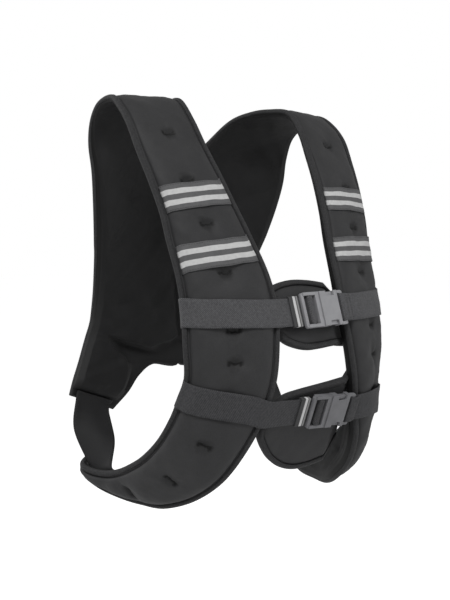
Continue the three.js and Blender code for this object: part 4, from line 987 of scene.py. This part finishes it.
def twill_webbing(name, dark, light):
    """Polyester webbing in a diagonal twill, a little fuzzy, with no gloss."""
    material, web_tree, web_shader = finish_named(name, 0.7, sheen=0.05)
    web_run = add(web_tree, "ShaderNodeAttribute", {"attribute_name": "run"}).outputs["Fac"]
    web_across = add(web_tree, "ShaderNodeAttribute", {"attribute_name": "across"}).outputs["Fac"]
    # twill ribs lean at 45 degrees: 1.5 mm apart, coarser than the real 0.8 mm so that they show
    lean_one = add(web_tree, "ShaderNodeMath", {"operation": "ADD"}, _0=web_run, _1=web_across)
    lean_angle = add(web_tree, "ShaderNodeMath", {"operation": "MULTIPLY", 1: 2 * math.pi / 2.1},
                     _0=lean_one.outputs[0])
    lean_ribs = add(web_tree, "ShaderNodeMath", {"operation": "SINE"}, _0=lean_angle.outputs[0])
    cross_angle = add(web_tree, "ShaderNodeMath", {"operation": "MULTIPLY", 1: 2 * math.pi}, _0=web_run)
    cross_ribs = add(web_tree, "ShaderNodeMath", {"operation": "SINE"}, _0=cross_angle.outputs[0])
    both_ribs = add(web_tree, "ShaderNodeMath", {"operation": "MULTIPLY_ADD", 1: 0.45},
                    _0=cross_ribs.outputs[0], _2=lean_ribs.outputs[0])
    web_place = add(web_tree, "ShaderNodeTexCoord").outputs["Object"]
    web_noise = add(web_tree, "ShaderNodeTexNoise", {"Scale": 500.0, "Detail": 3.0}, Vector=web_place)
    web_shade = add(web_tree, "ShaderNodeMath", {"operation": "MULTIPLY_ADD", 1: 0.26},
                    _0=both_ribs.outputs[0], _2=web_noise.outputs["Fac"])
    web_ramp = add(web_tree, "ShaderNodeValToRGB", _0=web_shade.outputs[0])
    web_ramp.color_ramp.elements[0].position, web_ramp.color_ramp.elements[0].color = 0.25, srgb(dark)
    web_ramp.color_ramp.elements[1].position, web_ramp.color_ramp.elements[1].color = 0.8, srgb(light)
    web_tree.links.new(web_ramp.outputs["Color"], web_shader.inputs["Base Color"])
    web_bump = add(web_tree, "ShaderNodeBump", {"Strength": 0.5, "Distance": 0.0005},
                   Height=web_shade.outputs[0])
    web_tree.links.new(web_bump.outputs["Normal"], web_shader.inputs["Normal"])
    return material


webbing_finish = {"upper": twill_webbing("twill_webbing_grey", "#3b3b3d", "#5e5e60"),
                  "lower": twill_webbing("twill_webbing_dark_grey", "#2c2c2e", "#4a4a4c")}
for level in STRAPS:
    for side in ("right", "left"):
        grid = webbing_run(level, side)
        facing = np.array([-0.9 if side == "right" else 0.9, -0.2, 0.0])
        piece = ribbon(f"{level}_{side}_strap_webbing", grid, WEBBING_THICKNESS, facing, WEBBING_WIDTH)
        piece.data.materials.append(webbing_finish[level])
        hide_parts(f"{level}_{side}_webbing")
        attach(piece, "root")
    # the lap is sewn down with a box of stitches beside the buckle
    lap_heights = ABOVE + 0.55 - 0.12 * np.arange(5)
    lap = [in_frame(level, np.linspace(33.5, 40, 5), w, lap_heights) for w in (-12.5, 12.5)]
    lap.append(in_frame(level, 34.2, np.linspace(-12.5, 12.5, 12), ABOVE + 0.7))
    lap.append(in_frame(level, 39.6, np.linspace(-12.5, 12.5, 12), ABOVE + 0.1))
    sew(f"{level}_lap_stitches", lap, pitch=2.6, length=1.8, radius=0.24)

# Keepers
# A flat loop of dark tape round the webbing beside each ladder lock, with one light stripe woven in.
# It holds the strap flat where it enters the buckle.
KEEPER_WIDTH = 13.0
KEEPER_WALL = 1.4
KEEPER_END = -HALF_BUCKLE - 3.0
KEEPER_CORNER = 0.9
# Places along the keeper, and how far its rounded edges sink there
KEEPER_CROWN = ((0.0, -0.45), (0.12, -0.1), (0.6, 0.0), (3.3, 0.0), (6.5, 0.0), (9.7, 0.0), (12.4, 0.0),
                (12.88, -0.1), (13.0, -0.45))

# Woven polyester tape: dark ribs, a pale stripe that catches the light, and no gloss
keeper_material, keeper_tree, keeper_shader = finish_named("woven_loop_with_light_stripe", 0.6)
keeper_across = add(keeper_tree, "ShaderNodeAttribute", {"attribute_name": "across"}).outputs["Fac"]
keeper_run = add(keeper_tree, "ShaderNodeAttribute", {"attribute_name": "run"}).outputs["Fac"]
# the light stripe is 3.6 mm wide, a little towards the buckle
keeper_from = add(keeper_tree, "ShaderNodeMath", {"operation": "SUBTRACT", 1: 0.6}, _0=keeper_across)
keeper_half = add(keeper_tree, "ShaderNodeMath", {"operation": "ABSOLUTE"}, _0=keeper_from.outputs[0])
keeper_stripe = add(keeper_tree, "ShaderNodeMapRange", {"From Min": 2.0, "From Max": 1.6},
                    _0=keeper_half.outputs[0])
# the ribs are drawn 1.1 mm apart, coarser than the real 0.5 mm, so that they show
keeper_rib = add(keeper_tree, "ShaderNodeMath", {"operation": "MULTIPLY", 1: 2 * math.pi / 1.1},
                 _0=keeper_run)
keeper_ribs = add(keeper_tree, "ShaderNodeMath", {"operation": "SINE"}, _0=keeper_rib.outputs[0])
# painted shade: the tape's colour follows the ribs, darker in their low places
keeper_rib_shade = add(keeper_tree, "ShaderNodeMath", {"operation": "MULTIPLY_ADD", 1: 0.3, 2: 0.5},
                  _0=keeper_ribs.outputs[0])
keeper_dark = add(keeper_tree, "ShaderNodeValToRGB", _0=keeper_rib_shade.outputs[0])
keeper_light = add(keeper_tree, "ShaderNodeValToRGB", _0=keeper_rib_shade.outputs[0])
for ramp, tones in ((keeper_dark, ("#353536", "#4a4a4b")), (keeper_light, ("#b8b8b8", "#dedede"))):
    for stop, tone in zip(ramp.color_ramp.elements, tones):
        stop.color = srgb(tone)
keeper_mix = add(keeper_tree, "ShaderNodeMix", {"data_type": "RGBA"}, _0=keeper_stripe.outputs[0])
keeper_tree.links.new(keeper_dark.outputs["Color"], keeper_mix.inputs[6])
keeper_tree.links.new(keeper_light.outputs["Color"], keeper_mix.inputs[7])
# a thinner grey stripe lies nearer the buckle
second_from = add(keeper_tree, "ShaderNodeMath", {"operation": "SUBTRACT", 1: 4.6}, _0=keeper_across)
second_half = add(keeper_tree, "ShaderNodeMath", {"operation": "ABSOLUTE"}, _0=second_from.outputs[0])
second_stripe = add(keeper_tree, "ShaderNodeMapRange", {"From Min": 1.3, "From Max": 0.9},
                    _0=second_half.outputs[0])
second_mix = add(keeper_tree, "ShaderNodeMix", {"data_type": "RGBA", 7: srgb("#8a8a8a")},
                 _0=second_stripe.outputs[0])
keeper_tree.links.new(keeper_mix.outputs[2], second_mix.inputs[6])
keeper_tree.links.new(second_mix.outputs[2], keeper_shader.inputs["Base Color"])
keeper_bump = add(keeper_tree, "ShaderNodeBump", {"Strength": 0.3, "Distance": 0.0004},
                  Height=keeper_rib_shade.outputs[0])
keeper_tree.links.new(keeper_bump.outputs["Normal"], keeper_shader.inputs["Normal"])

for level in STRAPS:
    half_w = WEBBING_WIDTH / 2 + 0.6 + KEEPER_WALL / 2
    half_h = WEBBING_THICKNESS / 2 + 0.4 + KEEPER_WALL / 2
    corner_w, corner_h = half_w - KEEPER_CORNER, half_h - KEEPER_CORNER
    turn = [(corner_w + KEEPER_CORNER * math.cos(a), corner_h + KEEPER_CORNER * math.sin(a))
            for a in np.linspace(0, math.pi / 2, 5)]
    quarter = turn + [(w, half_h) for w in np.linspace(half_w - 3, 3 - half_w, 9)]
    loop = quarter + [(-w, h) for w, h in turn[::-1]]
    loop += [(-w, -h) for w, h in quarter] + [(w, -h) for w, h in turn[::-1]]
    loop = np.array([p for n, p in enumerate(loop)
                     if n == 0 or np.hypot(*np.subtract(p, loop[n - 1])) > 0.05])
    outer_crown = list(KEEPER_CROWN)
    inner_crown = [(l, -KEEPER_WALL - inset) for l, inset in KEEPER_CROWN[::-1]]
    keeper_lines = []
    for l, inset in outer_crown + inner_crown:
        reach = KEEPER_WALL / 2 + inset
        wide, high = (half_w + reach) / half_w, (half_h + reach) / half_h
        keeper_lines.append(in_frame(level, KEEPER_END - KEEPER_WIDTH + l, loop[:, 0] * wide,
                                     BEHIND + loop[:, 1] * high))
    rings = np.stack(keeper_lines, axis=1)
    spread = [l - KEEPER_WIDTH / 2 for l, _ in outer_crown + inner_crown]
    piece = make_piece(f"{level}_webbing_keeper", rings.reshape(-1, 3),
                       tube_faces(len(rings), rings.shape[1], closed=True),
                       {"run": np.repeat(run_length(loop), rings.shape[1]),
                        "across": np.tile(spread, len(rings))})
    piece.data.materials.append(keeper_material)
    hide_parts(f"{level}_keeper")
    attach(piece, "root")

# Buckles
# Side-release buckles moulded in grey acetal: a socket with side windows on the wearer's left, and a
# plug with a ladder lock on the right. Their edges are rounded by the mould.
MOULD_RADIUS = 0.5


def moulded(name, light, dark):
    """Injection-moulded acetal: fine spark-eroded grain, and tone and roughness that vary a little."""
    material, tree, shader = finish_named(name, 0.42, level=0.4)
    place = add(tree, "ShaderNodeTexCoord").outputs["Object"]
    cloud = add(tree, "ShaderNodeTexNoise", {"Scale": 90.0, "Detail": 5.0}, Vector=place)
    ramp = add(tree, "ShaderNodeValToRGB", _0=cloud.outputs["Fac"])
    ramp.color_ramp.elements[0].position, ramp.color_ramp.elements[0].color = 0.3, srgb(dark)
    ramp.color_ramp.elements[1].position, ramp.color_ramp.elements[1].color = 0.7, srgb(light)
    tree.links.new(ramp.outputs["Color"], shader.inputs["Base Color"])
    rough = add(tree, "ShaderNodeMapRange", {"To Min": 0.36, "To Max": 0.52}, _0=cloud.outputs["Fac"])
    tree.links.new(rough.outputs[0], shader.inputs["Roughness"])
    grain = add(tree, "ShaderNodeTexNoise", {"Scale": 2200.0, "Detail": 1.0}, Vector=place)
    bump = add(tree, "ShaderNodeBump", {"Strength": 0.12, "Distance": 0.0002},
               Height=grain.outputs["Fac"])
    tree.links.new(bump.outputs["Normal"], shader.inputs["Normal"])
    return material


buckle_finish = {"upper": moulded("moulded_acetal_light_grey", "#97979a", "#8b8b8e"),
                 "lower": moulded("moulded_acetal_mid_grey", "#77777a", "#6b6b6e")}
for level in STRAPS:
    for part in ("plug", "socket"):
        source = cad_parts[f"{level}_buckle_{part}"]
        shell = bmesh.new()
        shell.from_mesh(source.data)
        bmesh.ops.remove_doubles(shell, verts=shell.verts, dist=1e-6)
        bmesh.ops.dissolve_limit(shell, angle_limit=math.radians(1.0), verts=shell.verts,
                                 edges=shell.edges)
        sharp = [e for e in shell.edges
                 if len(e.link_faces) == 2 and e.calc_face_angle(0) > math.radians(35)]
        bmesh.ops.bevel(shell, geom=sharp, offset=MOULD_RADIUS / 1000, segments=2, profile=0.6,
                        affect="EDGES", clamp_overlap=True)
        bmesh.ops.triangulate(shell, faces=shell.faces)
        mesh = bpy.data.meshes.new(f"{level}_side_release_{part}")
        shell.to_mesh(mesh)
        shell.free()
        mesh.shade_smooth()
        mesh.set_sharp_from_angle(angle=math.radians(42))
        piece = bpy.data.objects.new(mesh.name, mesh)
        bpy.context.scene.collection.objects.link(piece)
        piece.data.materials.append(buckle_finish[level])
        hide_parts(f"{level}_buckle_{part}")
        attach(piece, "root")


# Buckle flaps
# A padded neoprene flap lies behind each buckle, so that it doesn't press on the chest. Its inner end
# is sewn to the inner side of the left chest panel, and its free edge is bound like the harness.
FLAP_THICKNESS = 5.0
FLAP_SLOPE = 0.7
# The pillow of a flap over its flat edge, and a buckle's middle over the flange at the centre edge
FLAP_CROWN = 2.3
RIM_HEIGHT = 6.75
WALL_DEPTH = SIDE_WALL_SHARE * (PAD_THICKNESS - FLANGE_THICKNESS) * 0.6
FLAP_FACE = -(RIM_HEIGHT + FLANGE_THICKNESS / 2 + WALL_DEPTH + 0.7)
FLAP_ROWS = {
    # place along the buckle, and the lower and the upper edge there, as shares of the buckle's length
    "upper": np.array([
        [-1.02, -0.2, 0.3], [-0.97, -0.33, 0.45], [-0.82, -0.48, 0.54], [-0.6, -0.58, 0.59],
        [-0.34, -0.64, 0.61], [-0.05, -0.64, 0.59], [0.25, -0.62, 0.54], [0.5, -0.61, 0.48],
        [0.7, -0.6, 0.44], [1.0, -0.58, 0.4]]),
    "lower": np.array([
        [-1.3, -0.52, -0.36], [-1.25, -0.64, -0.1], [-1.1, -0.84, 0.1], [-0.9, -1.04, 0.22],
        [-0.6, -1.22, 0.29], [-0.26, -1.3, 0.35], [0.08, -1.27, 0.41], [0.38, -1.2, 0.47],
        [0.6, -1.14, 0.51], [0.74, -1.1, 0.53], [1.1, -1.0, 0.5]]),
}
# Where a flap bends back, in mm before the centre edge of the left and of the right panel
FLAP_BENDS = {"upper": (14, 8), "lower": (19, 8)}
FLAP_PROFILE = (
    (5.0, 1.0), (5.5, 1.9), (4.7, 2.7), (2.8, 3.0), (1.0, 2.7), (-0.3, 1.6), (-0.9, -0.4), (-0.9, -3.0),
    (-0.4, -5.0), (0.9, -6.0), (2.8, -6.3), (4.6, -6.0), (5.2, -5.2), (4.9, -4.6), (1.2, -4.4), (1.2, 0.8),
)


def smooth_line(points, count):
    """Even points on a smooth curve through the points given."""
    points = np.asarray(points, float)
    t = np.linspace(0, len(points) - 1, count)
    i = np.minimum(np.floor(t).astype(int), len(points) - 2)
    f = (t - i)[:, None]
    a, b, c, d = (points[np.clip(i + n, 0, len(points) - 1)] for n in (-1, 0, 1, 2))
    return b + 0.5 * ((c - a) * f + (2 * a - 5 * b + 4 * c - d) * f**2 + (3 * b - a - 3 * c + d) * f**3)


def along_line(level, rim):
    """Place of a point along a buckle."""
    origin, length, _, _ = frames[level]
    return float(np.dot(rim - origin, length))


for level, table in FLAP_ROWS.items():
    _, right_centre, left_centre, _, _, _ = STRAPS[level]
    bend_left = along_line(level, rim_point(left_centre)) - FLAP_BENDS[level][0]
    bend_right = along_line(level, rim_point(right_centre) * [-1, 1, 1]) + FLAP_BENDS[level][1]

    def face_height(l):
        """Height of the flap's face, which bends back behind both panels."""
        return FLAP_FACE - FLAP_SLOPE * np.maximum(0, np.maximum(l - bend_left, bend_right - l))

    edge_points = [(l, high) for l, low, high in table[::-1] * BUCKLE_LENGTH]
    edge_points += [(l, low) for l, low, high in table * BUCKLE_LENGTH]
    border = smooth_line(edge_points, 150)
    run_in = np.gradient(border, axis=0)
    into = unit(np.stack([-run_in[:, 1], run_in[:, 0]], axis=1))
    # the pad: rings from its border to its spine
    spine_l = np.clip(border[:, 0], border[:, 0].min() + 26, None)
    centre_w = np.interp(spine_l, table[:, 0] * BUCKLE_LENGTH, table[:, 1:].mean(axis=1) * BUCKLE_LENGTH)
    spine_points = np.stack([spine_l, centre_w], axis=1)
    depths = np.array([0.8, 3.0, 5.0, 5.6, 6.4, 7.4, 8.8, 11.0, 14.0])
    shares = np.array([0.0, 0.14, 0.34, 0.6, 1.0])
    rings, heights = [], []
    for depth in depths:
        rings.append(border + into * depth)
        rise = FLAP_CROWN * roll_share(np.array(depth - 5.6), 7.0) - (0.5 if depth in (5.0, 5.6) else 0)
        heights.append(np.full(len(border), float(rise)))
    last = rings[-1]
    for share_in in shares[1:]:
        rings.append(last * (1 - share_in) + spine_points * share_in)
        heights.append(np.full(len(border), FLAP_CROWN + 0.5 * share_in))
    plan, heights = np.array(rings), np.array(heights)
    swell = 0.25 * np.sin(plan[..., 0] / 9.0 + 1.0) * np.sin(plan[..., 1] / 7.0)
    swell = swell + 0.15 * np.sin(plan[..., 0] / 4.1 - plan[..., 1] / 5.3)
    front = face_height(plan[..., 0]) + heights + swell * np.clip(heights / FLAP_CROWN, 0, 1)
    back = face_height(plan[..., 0]) - FLAP_THICKNESS - np.clip(heights, 0, 1.6) * 0.6
    front_points = in_frame(level, plan[..., 0], plan[..., 1], front)
    back_points = in_frame(level, plan[..., 0], plan[..., 1], back)
    stack = np.concatenate([front_points[::-1], back_points])
    levels_count, columns_count = stack.shape[:2]
    faces = []
    for i in range(levels_count - 1):
        for j in range(columns_count - 1):
            a = i * columns_count + j
            faces.append([a, a + 1, a + columns_count + 1, a + columns_count])
    # the sewn end is closed by joining the two ends of each ring across the pad
    half_count = levels_count // 2
    end = columns_count - 1
    for i in range(half_count - 1):
        near_front, near_back = (half_count - 1 - i) * columns_count, (half_count + i) * columns_count
        far_front, far_back = near_front - columns_count, near_back + columns_count
        faces.append([near_front, far_front, far_back, near_back])
        faces.append([near_front + end, near_back + end, far_back + end, far_front + end])
    for start in (0, (levels_count - 1) * columns_count):
        faces += [[start + i, start + i + 1, start + end - 1 - i, start + end - i]
                  for i in range(columns_count // 2 - 1)]
    pad = make_piece(f"{level}_buckle_flap", stack.reshape(-1, 3), faces)
    pad.data.materials.append(outer_neoprene)
    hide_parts(f"{level}_flap")
    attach(pad, "root")

    tape = []
    for u, h in FLAP_PROFILE:
        spot = border + into * u
        base = face_height(spot[:, 0])
        tape.append(in_frame(level, spot[:, 0], spot[:, 1], base + h))
    tape = np.stack(tape, axis=1)
    size = tape.shape[1]
    piece = make_piece(f"{level}_flap_binding_tape", tape.reshape(-1, 3), tube_faces(len(tape), size),
                       {"run": np.repeat(run_length(tape[:, 5]), size),
                        "across": np.tile(np.arange(size) * 1.2, len(tape))})
    piece.data.materials.append(binding_tape)
    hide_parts(f"{level}_flap_binding")
    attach(piece, "root")
    spot = border + into * 4.0
    line = in_frame(level, spot[:, 0], spot[:, 1], face_height(spot[:, 0]) + 2.95)
    sew(f"{level}_flap_stitches", [line], pitch=3.2, length=2.2, radius=0.25)

# Side straps
# A single layer of flat 3 mm neoprene on each side, cut about 45 mm wide. It is sewn inside the end
# of the wing and inside the tail of the chest panel, and makes a quarter turn between them.
SIDE_STRAP_THICKNESS = 3.0
STRAP_OUTER = (1.01, 0.49, 0.84)
STRAP_INNER = (0.79, 0.3, 0.865)
STRAP_TAIL_ROWS = np.array([1.7, 2.9, 4.2])

flat_neoprene = neoprene("flat_jersey_neoprene", "#1b1b1c", "#262627", 0.7)


def inner_face(row, station):
    """Inner skin and outward normal at one row and station."""
    s = section_layout(np.array([float(row)]))
    at = np.array([[np.interp(station, np.arange(11), stations(s)[0])]])
    point, normal, _, depth, _, _ = skins(s, at)
    return (point - normal * depth[..., None])[0, 0], normal[0, 0]


wing_before = float(row_at(HALF_LENGTH - END_FLAT))
strap_rings = []
for reach in (0.8, -0.4):
    ring = []
    for station in (9, 5, 1):
        end, normal = inner_face(LAST_ROW, station)
        ring.append(end + (inner_face(wing_before, station)[0] - end) * reach - normal * 1.85)
    strap_rings.append(ring)
outer_middle, inner_middle = (np.array([x * HALF_WIDTH, y * BODY_DEPTH, CREST_HEIGHT - d * VEST_HEIGHT])
                              for x, y, d in (STRAP_OUTER, STRAP_INNER))
strap_rings.append([outer_middle, (outer_middle + inner_middle) / 2, inner_middle])
for reach in (-1.1, 0, 0.7):
    ring = []
    for row in STRAP_TAIL_ROWS:
        near, normal = inner_face(row, 9)
        far = inner_face(row, 6)[0]
        ring.append(near + (far - near) * reach - normal * 2.9)
    strap_rings.append(ring)
strap_keys = np.array(strap_rings)
strap_across = np.stack([smooth_line(ring, 13) for ring in strap_keys])
strap_grid = smooth_line(strap_across.reshape(len(strap_keys), -1), 60).reshape(60, 13, 3)
t = np.linspace(0, 1, 60)[:, None]
across_share = np.linspace(-1, 1, 13)[None, :]
# low waves of the cloth, in mm, that die out at both seams
fold = 0.9 * np.sin(np.pi * t) * np.sin(across_share * 4.2 + 3.0 * t)
fold = fold + 0.5 * np.sin(np.pi * t) * np.sin(17 * t + 2 * across_share)
strap_grid = strap_grid + grid_normals(strap_grid, np.array([0, -1.0, 0])) * fold[..., None]
for side, sign in (("left", 1), ("right", -1)):
    piece = ribbon(f"{side}_side_strap_neoprene", strap_grid * [sign, 1, 1], SIDE_STRAP_THICKNESS,
                   np.array([0, -1.0, 0]), 45.0)
    piece.data.materials.append(flat_neoprene)
    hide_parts(f"{side}_side_strap")
    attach(piece, "root")
    facing = grid_normals(strap_grid * [sign, 1, 1], np.array([0, -1.0, 0]))
    seams = [(strap_grid * [sign, 1, 1] + facing * 1.6)[4:-6, n] for n in (1, -2)]
    sew(f"{side}_side_strap_stitches", seams, pitch=3.2, length=2.2, radius=0.22)

# Camera, floor and light
# A camera at the photograph's angle, a plain pale floor, and wide soft studio lights round the vest.
focus = Vector((-0.8455, -1.0820, -0.1684))
look = Vector((0.6153, 0.7876, -0.0332))
camera = bpy.data.objects.new("camera", bpy.data.cameras.new("camera"))
camera.data.lens = 69.0
camera.data.sensor_width = 36.0
camera.location = focus
camera.rotation_mode = "QUATERNION"
camera.rotation_quaternion = look.to_track_quat("-Z", "Y")
bpy.context.scene.collection.objects.link(camera)
bpy.context.scene.camera = camera

floor_mesh = bpy.data.meshes.new("studio_floor")
floor_height = cad_low.z - 0.35
floor_corners = [(x, y, floor_height) for x, y in ((-40, -40), (40, -40), (40, 40), (-40, 40))]
floor_mesh.from_pydata(floor_corners, [], [(0, 1, 2, 3)])
floor = bpy.data.objects.new("studio_floor", floor_mesh)
bpy.context.scene.collection.objects.link(floor)
floor_material, floor_tree, floor_shader = finish_named("pale_studio_floor", 0.9)
floor_shader.inputs["Base Color"].default_value = srgb("#f2f2f2")
# the floor is lit a little more for the camera, so that it runs into the white background
floor_seen = add(floor_tree, "ShaderNodeLightPath").outputs["Is Camera Ray"]
floor_glow = add(floor_tree, "ShaderNodeMath", {"operation": "MULTIPLY", 1: 0.68}, _0=floor_seen)
floor_shader.inputs["Emission Color"].default_value = (1, 1, 1, 1)
floor_tree.links.new(floor_glow.outputs[0], floor_shader.inputs["Emission Strength"])
floor.data.materials.append(floor_material)
floor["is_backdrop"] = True

world = bpy.data.worlds.new("studio")
bpy.context.scene.world = world
world.use_nodes = True
world.node_tree.nodes["Background"].inputs["Color"].default_value = (1, 1, 1, 1)
# the background is white for the camera, and lights the vest at less than half of that
world_seen = add(world.node_tree, "ShaderNodeLightPath").outputs["Is Camera Ray"]
world_level = add(world.node_tree, "ShaderNodeMath", {"operation": "MULTIPLY_ADD", 1: 0.64, 2: 0.36},
                  _0=world_seen)
world.node_tree.links.new(world_level.outputs[0], world.node_tree.nodes["Background"].inputs["Strength"])
for name, place, aim, size, power in (
    ("key", (-1.5, -1.5, 1.9), (0, 0, -0.1), 0.9, 38),
    ("fill", (1.6, -1.8, 0.6), (0, 0, -0.2), 1.2, 10),
    ("rim", (-1.2, 1.8, 1.0), (0, 0, -0.15), 1.0, 16),
):
    lamp = bpy.data.objects.new(name, bpy.data.lights.new(name, "AREA"))
    lamp.data.size, lamp.data.energy = size, power
    lamp.location = place
    lamp.rotation_mode = "QUATERNION"
    lamp.rotation_quaternion = (Vector(aim) - Vector(place)).to_track_quat("-Z", "Y")
    bpy.context.scene.collection.objects.link(lamp)
bpy.context.scene.view_settings.view_transform = "Standard"

low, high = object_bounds()
